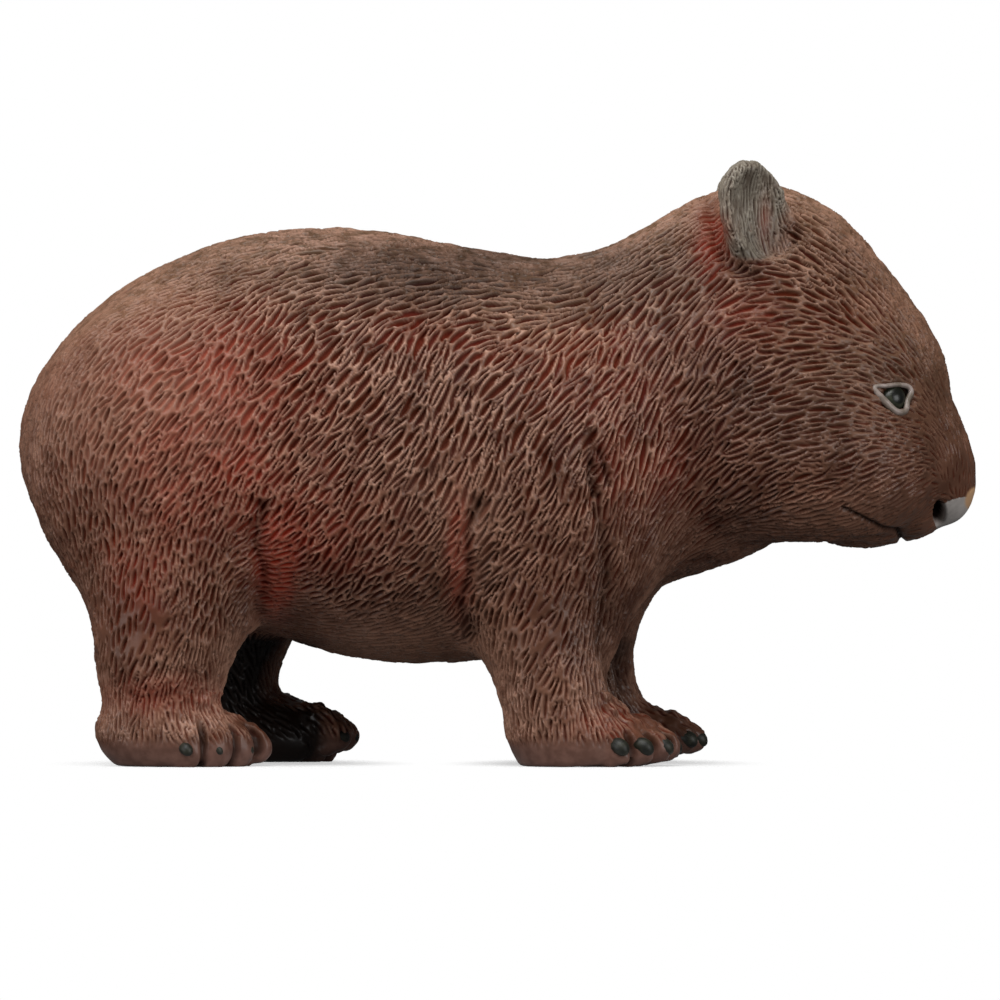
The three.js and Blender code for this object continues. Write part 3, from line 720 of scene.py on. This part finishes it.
# Where the coat is parted into pieces: two leaning cuts, with a place on each and the way it faces, and
# the upright ones.
parting = {
    "head": ((22.4, 65), (0.99, 0.145)),
    "neck": ((10, 59.4), (0.987, 0.162)),
    "rump": -18.5,
    "legTop": 23.0,
    "foreleg": (-8, 28),
    "hindleg": -20,
    "belly": 4,  # half its width between the legs
}


def isPast(cut, x, z):
    (atX, atZ), (wayX, wayZ) = parting[cut]
    return (x - atX) * wayX + (z - atZ) * wayZ > 0


def pieceOf(x, y, z):
    # which piece of the coat a place belongs to
    side = np.where(y < 0, "right", "left")
    onHead = isPast("head", x, z)
    part = np.where(x < parting["rump"], "rump", "flank")
    part = np.where(isPast("neck", x, z), "neck", part)
    part = np.where(onHead, "head", part)
    leg = (z < parting["legTop"]) & (np.abs(y) >= parting["belly"])
    rear, ahead = parting["foreleg"]
    part = np.where(leg & (x > rear) & (x < ahead) & ~onHead, "foreleg", part)
    part = np.where(leg & (x < parting["hindleg"]), "hindleg", part)
    return np.char.add(np.char.add(part, "_"), side)


def srgb(red, green, blue):
    # the linear colour of a colour picked on the screen
    return tuple(c / 12.92 if c < 0.04045 else ((c + 0.055) / 1.055) ** 2.4
                 for c in (red / 255, green / 255, blue / 255)) + (1,)


class Wire:
    # a node's output that can stand in a sum
    def __init__(self, tree, socket):
        self.tree = tree
        self.socket = socket

    def math(self, operation, *values):
        return self.tree.node("ShaderNodeMath", {"operation": operation}, values)

    def __add__(self, other):
        return self.math("ADD", self, other)

    __radd__ = __add__

    def __sub__(self, other):
        return self.math("SUBTRACT", self, other)

    def __rsub__(self, other):
        return self.math("SUBTRACT", other, self)

    def __mul__(self, other):
        return self.math("MULTIPLY", self, other)

    __rmul__ = __mul__

    def __pow__(self, other):
        return self.math("POWER", self, other)

    def clipped(self):
        return self.tree.node("ShaderNodeClamp", {}, {"Value": self})

    def ramp(self, low, high):
        sockets = {"Value": self, "From Min": low, "From Max": high}
        return self.tree.node("ShaderNodeMapRange", {"interpolation_type": "SMOOTHSTEP"}, sockets)


class Tree:
    # a node tree with one way to add any node
    def __init__(self, tree):
        self.tree = tree

    def node(self, kind, settings={}, sockets={}, output=0):
        made = self.tree.nodes.new(kind)
        for name, value in settings.items():
            setattr(made, name, value)
        for key, value in sockets.items() if isinstance(sockets, dict) else enumerate(sockets):
            if isinstance(value, Wire):
                self.tree.links.new(value.socket, made.inputs[key])
            else:
                made.inputs[key].default_value = value
        return Wire(self, made.outputs[output] if made.outputs else None)


class Finish(Tree):
    # a material; the constants are the shader's own sockets
    def __init__(self, name, **constants):
        self.material = bpy.data.materials.new(name)
        self.material.use_nodes = True
        super().__init__(self.material.node_tree)
        self.shader = self.tree.nodes["Principled BSDF"]
        for socket, value in constants.items():
            self.shader.inputs[socket.replace("_", " ")].default_value = value

    def mix(self, amount, *colors):
        # two colours, each one a wire or as picked on the screen
        low, high = [c if isinstance(c, Wire) else srgb(*c) for c in colors]
        settings = {"data_type": "RGBA", "clamp_factor": True}
        return self.node("ShaderNodeMix", settings, {0: amount, 6: low, 7: high}, 2)

    def attribute(self, name):
        return self.node("ShaderNodeAttribute", {"attribute_name": name}, output="Fac")

    def place(self):
        return self.node("ShaderNodeTexCoord", output="Object")

    def noise(self, size, detail=2.0):
        sockets = {"Vector": self.place(), "Scale": 1 / (size * mm), "Detail": detail}
        return self.node("ShaderNodeTexNoise", {}, sockets)

    def insideEgg(self, at, half, pitch, edge):
        # 1 inside an egg, 0 outside, with an edge of this share of its size
        sockets = {"Vector": self.place(), "Location": [c * mm for c in at],
                   "Rotation": (0, math.radians(-pitch), 0), "Scale": [c * mm for c in half]}
        inner = self.node("ShaderNodeMapping", {"vector_type": "TEXTURE"}, sockets)
        away = self.node("ShaderNodeVectorMath", {"operation": "LENGTH"}, {0: inner}, "Value")
        return 1 - away.ramp(1 - edge, 1 + edge)

    def drive(self, socket, wire):
        self.tree.links.new(wire.socket, self.shader.inputs[socket])


paint = {
    "pit": ((54, 13, 3), (88, 34, 15)),  # darkest and lightest pit floor
    "pit red": (142, 38, 19),
    "skin": ((74, 44, 31), (101, 66, 50)),
    "skin red": (130, 54, 38),
    "ridge": (178, 137, 116),
    # wash: dark paint in the folds, dents and clefts, partly painted shade
    "washAndShade": (24, 9, 4),
    # pale and dark lighten and darken the coat, largely as painted light and shade
    "pale": (138, 101, 82),
    "dark": (18, 8, 4),
    # top: olive paint; on the back it is partly painted light from above
    "top": (112, 92, 66),
    "ear": (98, 87, 76),
    "ear pit": (48, 32, 24),
    "ear ridge": (150, 142, 128),
    "sole": ((84, 57, 48), (106, 76, 66)),
    "nose": (186, 179, 174),
    "nose tip": (200, 158, 118),
    "lid": (146, 132, 126),
    "claw": ((14, 15, 10), (36, 36, 26)),
    "eye": ((16, 16, 12), (52, 54, 42)),
}
nosePad = {"at": (53.0, 0, 28.65), "half": (4.4, 6.8, 2.7), "pitch": -22, "edge": 0.02}
noseTip = {"at": (54.4, -1.4, 30.7), "half": (1.5, 2.6, 1.25), "edge": 0.2}
laid = {  # how much of each paint is laid over the ones before it
    "pit red": 0.85,
    "top": 0.45,
    "skin red": 0.8,
    "ridge": 0.9,
    "ear ridge": 0.8,
    "pale": 0.55,
    "dark": 0.9,
    "nose smear": 0.3,
    "gloss": 0.3,
}
keepRed = {"ridge": 0.35, "ear": 0.8, "washAndShade": 0.6}  # how much the red spots hold these back
brushed = {"patch": 5, "brush": 1.3, "ridge": 2.6}  # the sizes of the clouds in the paint


def coatFinish():
    f = Finish("painted vinyl coat", IOR=1.46, Specular_IOR_Level=0.1, Coat_Roughness=0.3)
    pit, crest, tint = f.attribute("pit"), f.attribute("crest"), f.attribute("tint")
    light, red = f.attribute("light"), f.attribute("red").clipped()
    onEar, washAndShade, sole, shadeAndTone = [f.attribute(name) for name in ("ear", "washAndShade", "sole", "shadeAndTone")]
    patch = f.noise(brushed["patch"])
    brush = f.noise(brushed["brush"], 3)
    floor = f.mix(tint, *paint["pit"])
    floor = f.mix(red * laid["pit red"], floor, paint["pit red"])
    body = f.mix(patch.ramp(0.3, 0.7), *paint["skin"])
    # olive paint, partly painted light on what faces up on the back
    body = f.mix(f.attribute("top") * laid["top"], body, paint["top"])
    body = f.mix(red * laid["skin red"], body, paint["skin red"])
    color = f.mix(pit ** 1.3, body, floor)
    ridges = crest * light * (1 - red * keepRed["ridge"]) * f.noise(brushed["ridge"]).ramp(0.2, 0.6)
    color = f.mix(ridges * laid["ridge"], color, paint["ridge"])
    earColor = f.mix(pit, paint["ear"], paint["ear pit"])
    earColor = f.mix(crest * laid["ear ridge"], earColor, paint["ear ridge"])
    color = f.mix(onEar * (1 - red * keepRed["ear"]) * brush.ramp(0.05, 0.4), color, earColor)
    soleColor = f.mix(brush.ramp(0.3, 0.7), *paint["sole"])
    color = f.mix(sole, color, soleColor)
    # painted light and shade: the pale and dark clouds, and the darkened inner legs
    color = f.mix((shadeAndTone * laid["pale"]).clipped(), color, paint["pale"])
    color = f.mix((shadeAndTone * -laid["dark"]).clipped(), color, paint["dark"])
    # dark wash in the folds, dents and clefts, partly painted shade
    color = f.mix(washAndShade * (1 - red * keepRed["washAndShade"]), color, paint["washAndShade"])
    pad = f.insideEgg(nosePad["at"], nosePad["half"], nosePad["pitch"], nosePad["edge"])
    smear = brush.ramp(0.2, 0.8) * laid["nose smear"]
    nose = f.mix(smear, paint["nose"], paint["ear pit"])
    color = f.mix(pad * (1 - washAndShade), color, nose)
    spot = f.insideEgg(noseTip["at"], noseTip["half"], 0, noseTip["edge"])
    color = f.mix(spot, color, paint["nose tip"])
    f.drive("Base Color", color)
    f.drive("Roughness", brush * 0.2 + pit * 0.2 + 0.34)
    f.drive("Coat Weight", (1 - pit) * (1 - washAndShade) * laid["gloss"])
    return f.material


def enamel(name, colors, size, **constants):
    # hard gloss paint of two colours, clouded a little
    f = Finish(name, **constants)
    f.drive("Base Color", f.mix(f.noise(size).ramp(0.3, 0.7), *colors))
    return f.material


unfold = {"angle": 72, "apart": 0.004}


def unwrap(obj, ids):
    # each piece gets a flat layout of its own, on the first surface, before it is divided
    mesh = obj.data
    layer = mesh.uv_layers.new(name="OFBake")
    uv = np.zeros((len(mesh.loops), 2), dtype=np.float32)
    quads = readArray(mesh.loops, "vertex_index", 1, np.int32).reshape(-1, 4)
    points = readArray(mesh.vertices, "co", 3)
    for name in np.unique(ids):
        mine = np.nonzero(ids == name)[0]
        used, faces = np.unique(quads[mine], return_inverse=True)
        part = addObject("part", meshOf("part", points[used], faces.reshape(-1, 4), 1))
        part.data.uv_layers.new(name="flat")
        bpy.context.view_layer.objects.active = part
        part.select_set(True)
        bpy.ops.object.mode_set(mode="EDIT")
        bpy.ops.mesh.select_all(action="SELECT")
        bpy.ops.uv.smart_project(angle_limit=math.radians(unfold["angle"]), island_margin=unfold["apart"])
        bpy.ops.object.mode_set(mode="OBJECT")
        flat = readArray(part.data.uv_layers["flat"].uv, "vector", 2)
        uv.reshape(-1, 4, 2)[mine] = flat.reshape(-1, 4, 2)
        bpy.data.objects.remove(part)
    layer.uv.foreach_set("vector", uv.ravel())


def makeSkin():
    points, quads = firstSurface()
    rough = meshOf("skin", points, quads)
    skinObject = addObject("skin", rough)
    ids = pieceOf(*points[quads].mean(1).T)
    names, index = np.unique(ids, return_inverse=True)
    unwrap(skinObject, ids)
    divide = skinObject.modifiers.new("divide", "SUBSURF")
    divide.levels = divide.render_levels = skin["divisions"]
    divide.uv_smooth = "PRESERVE_BOUNDARIES"
    evaluated = skinObject.evaluated_get(bpy.context.evaluated_depsgraph_get())
    fine = bpy.data.meshes.new_from_object(evaluated)
    bpy.data.objects.remove(skinObject)
    print("skin:", len(fine.polygons), "quads")
    return fine, names, np.repeat(index, 4 ** skin["divisions"])


def makeCoat():
    fine, names, index = makeSkin()
    points = readArray(fine.vertices, "co", 3) / mm
    normals = readArray(fine.vertex_normals, "vector", 3)
    quads = readArray(fine.loops, "vertex_index", 1, np.int32).reshape(-1, 4)
    uv = readArray(fine.uv_layers["OFBake"].uv, "vector", 2).reshape(-1, 4, 2)
    height, marks = carveCoat(points, normals)
    folded, marks["washAndShade"] = foldSkin(points)
    toe = toeShare(points)
    lumps = cloud(points, knuckles["size"], 6) + 0.5 * cloud(points, knuckles["size"] / 2, 7) - 0.75
    between = toeLines(points, cleft, betweenTips)
    raised = toeLines(points, lobe, lambda tips: [tip[:2] for tip in tips]) * (1 - between)
    height = height * (1 - knuckles["worn"] * toe) + folded + knuckles["high"] * toe * lumps
    height += lobe["high"] * raised - cleft["depth"] * between
    # the clefts between the toes take the dark wash, partly painted shade
    marks["washAndShade"] = np.maximum(marks["washAndShade"], cleft["washAndShade"] * between)
    # pale and dark paint, largely painted light and shade
    marks["shadeAndTone"] = shadeAndToneOf(points)
    marks["red"] = redOf(points)
    # olive paint, on the back's upper faces partly painted light from above
    marks["top"] = oliveAndTopLightOf(points, normals)
    lean, level = earCoat["frontLean"]
    fade = 1 - smooth(*earCoat["front"], points[:, 0] + lean * (level - points[:, 2]))
    marks["ear"] = earShare(points) * fade
    marks["sole"] = 1 - smooth(*coat["sole"], points[:, 2])
    print("relief: from", round(float(height.min()), 2), "to", round(float(height.max()), 2), "mm")
    points = points + normals * height[:, None]
    points[:, 2] = np.maximum(points[:, 2], 0)
    fine.vertices.foreach_set("co", (points * mm).ravel())
    fine.update()
    normals = readArray(fine.vertex_normals, "vector", 3)
    material = coatFinish()
    for n, name in enumerate(names):
        mine = index == n
        used, faces = np.unique(quads[mine], return_inverse=True)
        mesh = meshOf("coat_" + name, points[used], faces.reshape(-1, 4))
        mesh.uv_layers.new(name="OFBake").uv.foreach_set("vector", uv[mine].ravel())
        for mark, values in marks.items():
            layer = mesh.attributes.new(mark, "FLOAT", "POINT")
            layer.data.foreach_set("value", values[used].astype(np.float32))
        mesh.normals_split_custom_set_from_vertices(normals[used])
        mesh.materials.append(material)
        piece = addObject("coat_" + name, mesh)
        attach(piece, "root")
        print("coat", name, 2 * int(mine.sum()), "triangles")
    flesh = [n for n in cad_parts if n.split("_")[0] not in ("eye", "claw")]
    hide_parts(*flesh)


seek = {"widest": 26, "halvings": 24}


def skinAt(x, z, side):
    # the places on one side of the skin that are seen at these places in the side view
    x, z = np.array(x, dtype=np.float32), np.array(z, dtype=np.float32)
    low, high = np.zeros_like(x), np.full_like(x, seek["widest"])
    for _ in range(seek["halvings"]):
        middle = (low + high) / 2
        outside = bodyField(x, side * middle, z) > 0
        low, high = np.where(outside, low, middle), np.where(outside, middle, high)
    return np.stack([x, side * low, z], 1)


def revolved(profile, around):
    # points and quads of a profile of (along, out) turned round the X axis, with closed poles
    angles = np.arange(around) * 2 * math.pi / around
    rings = [[(along, out * math.cos(a), out * math.sin(a)) for a in angles] for along, out in profile[1:-1]]
    points = np.array(sum(rings, []) + [(profile[0][0], 0, 0), (profile[-1][0], 0, 0)])
    faces = []
    for ring in range(len(rings) - 1):
        for i in range(around):
            a, b = ring * around + i, ring * around + (i + 1) % around
            faces.append((a, b, b + around, a + around))
    start, end = len(points) - 2, len(points) - 1
    last = (len(rings) - 1) * around
    for i in range(around):
        j = (i + 1) % around
        faces.append((start, j, i))
        faces.append((end, last + i, last + j))
    return points, faces


def solidMesh(name, points, faces, material):
    mesh = bpy.data.meshes.new(name)
    mesh.from_pydata([tuple(p) for p in np.asarray(points) * mm], [], faces)
    mesh.shade_smooth()
    mesh.materials.append(material)
    return mesh


def growTree(name, inputs):
    # an empty geometry tree with named inputs, and its input node's wires
    group = bpy.data.node_groups.new(name, "GeometryNodeTree")
    group.interface.new_socket("Geometry", in_out="INPUT", socket_type="NodeSocketGeometry")
    group.interface.new_socket("Geometry", in_out="OUTPUT", socket_type="NodeSocketGeometry")
    names = {}
    for label, kind in inputs.items():
        names[label] = group.interface.new_socket(label, in_out="INPUT", socket_type=kind).identifier
    tree = Tree(group)
    entry = group.nodes.new("NodeGroupInput")
    wires = {socket.name: Wire(tree, socket) for socket in entry.outputs if socket.name}
    return tree, wires, names


def finishTree(tree, geometry, material):
    real = tree.node("GeometryNodeRealizeInstances", {}, {0: geometry})
    painted = tree.node("GeometryNodeSetMaterial", {}, {"Geometry": real, "Material": material})
    tree.node("NodeGroupOutput", {}, {0: painted})


def grown(name, base, tree, names, values):
    # the piece that a geometry tree makes of a base mesh
    carrier = addObject(name, base)
    modifier = carrier.modifiers.new("grow", "NODES")
    modifier.node_group = tree.tree
    for label, value in values.items():
        modifier[names[label]] = value
    made = bpy.data.meshes.new_from_object(carrier.evaluated_get(bpy.context.evaluated_depsgraph_get()))
    carrier.modifiers.clear()
    carrier.data = made
    made.name = name
    return carrier


claw = {
    "profile": [(-1, 0), (-0.95, 0.75), (-0.5, 0.98), (0, 1), (0.4, 0.9), (0.72, 0.66), (0.92, 0.34),
                (1, 0)],
    "around": 14,
    "dip": 24,
    "droop": 0.18,
    "stout": 0.42,  # half its thickness, as a share of the plain claw's height
    "long": 1.25,
    "inset": 0.25,
    "yaw": {"front": (-22, -8, 5, 22, 40), "hind": (-18, -8, 6, 28, 50)},
}


def makeClaws():
    # one blunt claw, set on every toe in place of the frame's plain one
    black = enamel("claw paint", paint["claw"], 0.8, Roughness=0.5, IOR=1.4)
    points, faces = revolved(claw["profile"], claw["around"])
    points[:, 2] -= claw["droop"] * np.maximum(points[:, 0], 0) ** 2
    shape = addObject("claw shape", solidMesh("claw shape", points, faces, black))
    nodes = sorted(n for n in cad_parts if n.startswith("claw_"))
    at, turns, sizes = [], [], []
    for node in nodes:
        end, side, number = node.split("_")[1:]
        low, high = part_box(node)
        middle = [(a + b) / 2 for a, b in zip(low, high)]
        yaw = math.radians(claw["yaw"][end][int(number) - 1]) * (1 if side == "left" else -1)
        way = (math.cos(yaw), math.sin(yaw), 0)
        at.append([c - w * claw["inset"] * mm for c, w in zip(middle, way)])
        turns.append((0, math.radians(claw["dip"]), yaw))
        radius = (high[2] - low[2]) / mm * claw["stout"]
        sizes.append((radius * claw["long"], radius, radius))
    base = bpy.data.meshes.new("claws")
    base.from_pydata(at, [], [])
    for name, values in (("facing", turns), ("size", sizes)):
        base.attributes.new(name, "FLOAT_VECTOR", "POINT").data.foreach_set("vector", np.ravel(values))
    tree, wires, names = growTree("claws on toes", {"Shape": "NodeSocketObject", "Size": "NodeSocketFloat"})
    one = tree.node("GeometryNodeObjectInfo", {}, {"Object": wires["Shape"]}, "Geometry")
    kind = {"data_type": "FLOAT_VECTOR"}
    facing = tree.node("GeometryNodeInputNamedAttribute", kind, {"Name": "facing"})
    size = tree.node("GeometryNodeInputNamedAttribute", kind, {"Name": "size"})
    turn = tree.node("FunctionNodeEulerToRotation", {}, {0: facing})
    scaled = tree.node("ShaderNodeVectorMath", {"operation": "SCALE"}, {0: size, "Scale": wires["Size"]})
    placed = tree.node("GeometryNodeInstanceOnPoints", {},
                       {"Points": wires["Geometry"], "Instance": one, "Rotation": turn, "Scale": scaled})
    finishTree(tree, placed, black)
    piece = grown("claws", base, tree, names, {"Shape": shape, "Size": 1.0})
    bpy.data.objects.remove(shape)
    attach(piece, "root")
    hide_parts(*nodes)
    print("claws:", len(nodes), "of", len(piece.data.polygons), "faces")


lid = {  # middle line of the raised rim round the eye, ahead and up, and its thickness
    "line": [(42.9, 43.35), (44.3, 43.55), (45.5, 43.68), (46.75, 43.5), (47.15, 42.8),
             (46.75, 41.9), (46.45, 40.7), (45.4, 40.6), (44.05, 41.8)],
    "thick": [0.26, 0.27, 0.28, 0.31, 0.36, 0.32, 0.36, 0.42, 0.44],
    "steps": 8,
    "sides": 12,
    "proud": -0.05,
}


def roundTrip(values, steps):
    # a smooth closed run through the values
    values = np.array(values, dtype=float)
    before, after, beyond = np.roll(values, 1, 0), np.roll(values, -1, 0), np.roll(values, -2, 0)
    out = []
    for t in np.arange(steps) / steps:
        square = (2 * before - 5 * values + 4 * after - beyond) * t ** 2
        cube = (3 * values - before - 3 * after + beyond) * t ** 3
        out.append(0.5 * (2 * values + (after - before) * t + square + cube))
    return np.stack(out, 1).reshape(-1, *values.shape[1:])


def makeLids():
    lilac = enamel("lid paint", [paint["lid"], paint["ear"]], 1.5, Roughness=0.4, IOR=1.46)
    inputs = {"Unit": "NodeSocketFloat", "Sides": "NodeSocketInt"}
    tree, wires, names = growTree("rim round the eye", inputs)
    line = tree.node("GeometryNodeMeshToCurve", {}, {0: wires["Geometry"]})
    circle = {"Resolution": wires["Sides"], "Radius": wires["Unit"]}
    ring = tree.node("GeometryNodeCurvePrimitiveCircle", {}, circle)
    width = tree.node("GeometryNodeInputNamedAttribute", {"data_type": "FLOAT"}, {"Name": "thick"})
    sweep = {"Curve": line, "Profile Curve": ring, "Scale": width}
    tube = tree.node("GeometryNodeCurveToMesh", {}, sweep)
    soft = tree.node("GeometryNodeSetShadeSmooth", {}, {"Geometry": tube})
    finishTree(tree, soft, lilac)
    x, z = roundTrip(lid["line"], lid["steps"]).T
    thick = roundTrip(lid["thick"], lid["steps"])
    edges = [(i, (i + 1) % len(x)) for i in range(len(x))]
    for side, name in ((-1, "right"), (1, "left")):
        path = skinAt(x, z, side)
        path[:, 1] += side * lid["proud"]
        base = bpy.data.meshes.new("lids")
        base.from_pydata([tuple(p) for p in path * mm], edges, [])
        base.attributes.new("thick", "FLOAT", "POINT").data.foreach_set("value", thick)
        piece = grown("lids_" + name, base, tree, names, {"Unit": mm, "Sides": lid["sides"]})
        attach(piece, "root")
    print("lids:", len(piece.data.polygons), "faces each")


eye = {
    "side": (45.65, 42.4),
    "half": (1.6, 1.75, 1.7),
    "sunk": 1.4,
    "rings": 24,
    "around": 40,
    "pupil": (0.32, 0.4),  # quarter turns from the gaze, where the pupil ends
    "rim": (0.45, 0.95),  # and where the iris darkens
}


def makeEyes():
    f = Finish("eye paint", Roughness=0.3, IOR=1.5, Specular_IOR_Level=0.35)
    gaze = f.attribute("gaze")
    dark, olive = paint["eye"]
    iris = f.mix(f.noise(0.5).ramp(0.3, 0.7) * 0.5, olive, dark)
    iris = f.mix(gaze.ramp(*eye["rim"]), iris, dark)
    f.drive("Base Color", f.mix(gaze.ramp(*eye["pupil"]), dark, iris))
    rings = [i * math.pi / eye["rings"] for i in range(eye["rings"] + 1)]
    points, faces = revolved([(-math.cos(a), math.sin(a)) for a in rings], eye["around"])
    out = np.arccos(np.clip(points[:, 0], -1, 1)) / (math.pi / 2)
    for side, name in ((-1, "right"), (1, "left")):
        at = skinAt([eye["side"][0]], [eye["side"][1]], side)
        slope = unit(slopeAt(at)[0])[0]
        turn = np.array(Vector(slope).to_track_quat("X", "Z").to_matrix())
        placed = (points * eye["half"]) @ turn.T + at - slope * eye["sunk"]
        mesh = solidMesh("eye_" + name, placed, faces, f.material)
        mesh.attributes.new("gaze", "FLOAT", "POINT").data.foreach_set("value", out)
        piece = addObject("eyeball_" + name, mesh)
        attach(piece, "root")
        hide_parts("eye_" + name)
    print("eyes made")


makeCoat()
makeClaws()
makeLids()
makeEyes()


stage = {
    "cameraAway": 1.6,
    "cameraHigh": 0.0326,
    "sensor": 36.0,
    "lens": 498.8,
    "rows": 1000,
    "horizonRow": 481.5,
    "floorHalf": 0.5,
    "underFeet": {"hind": ((-31, 0, 0), (16, 24, 9)), "front": ((12, 0, 0), (14, 24, 9))},
    "underEdge": 0.4,
    "floorTint": 0.5,  # how much of the floor's shading shows on the white there, and none elsewhere
    "around": 0.09,
    "lamps": {  # place, aim, size and watts
        "left": ((-0.25, -0.5, 0.8), (0, 0, 0.03), 0.7, 7.5),
        "top": ((0, -0.3, 0.95), (0, 0, 0.03), 0.7, 3.5),
        "right": ((0.8, -0.7, 0.27), (0, 0, 0.03), 0.6, 5.5),
        "low": ((-0.9, -0.5, 0.15), (0, 0, 0.03), 0.6, 4.0),
    },
}


def makeStage():
    scene = bpy.context.scene
    scene.view_settings.view_transform = "Standard"
    camera = bpy.data.cameras.new("camera")
    camera.sensor_width = stage["sensor"]
    camera.lens = stage["lens"]
    camera.clip_end = 10
    cameraObject = addObject("camera", camera)
    scene.camera = cameraObject
    rise = (stage["rows"] / 2 - stage["horizonRow"]) / stage["rows"] * stage["sensor"]
    tilt = math.atan(rise / stage["lens"])
    cameraObject.location = (0, -stage["cameraAway"], stage["cameraHigh"])
    cameraObject.rotation_euler = (math.radians(90) - tilt, 0, 0)

    world = bpy.data.worlds.new("studio")
    world.use_nodes = True
    studio = Tree(world.node_tree)
    seen = studio.node("ShaderNodeBackground", {}, {"Color": (1, 1, 1, 1), "Strength": 1.0})
    pale = {"Color": (0.98, 0.99, 1, 1), "Strength": stage["around"]}
    around = studio.node("ShaderNodeBackground", {}, pale)
    toCamera = studio.node("ShaderNodeLightPath", output="Is Camera Ray")
    both = studio.node("ShaderNodeMixShader", {}, {0: toCamera, 1: around, 2: seen})
    world.node_tree.links.new(both.socket, world.node_tree.nodes["World Output"].inputs["Surface"])
    scene.world = world

    half = stage["floorHalf"]
    corners = [(-half, -half, 0), (half, -half, 0), (half, half, 0), (-half, half, 0)]
    floor = addObject("floor", meshOf("floor", corners, [(0, 1, 2, 3)], 1))
    f = Finish("pale floor", Base_Color=(0.93, 0.93, 0.93, 1), Roughness=0.9)
    edge = stage["underEdge"]
    hind, front = [f.insideEgg(at, half, 0, edge) for at, half in stage["underFeet"].values()]
    f.drive("Alpha", (hind + front).clipped() * stage["floorTint"])
    floor.data.materials.append(f.material)

    for name, (at, aim, size, power) in stage["lamps"].items():
        lamp = bpy.data.lights.new(name, "AREA")
        lamp.energy = power
        lamp.size = size
        lampObject = addObject(name, lamp)
        lampObject.location = at
        lampObject.rotation_euler = (Vector(aim) - Vector(at)).to_track_quat("-Z", "Y").to_euler()


makeStage()
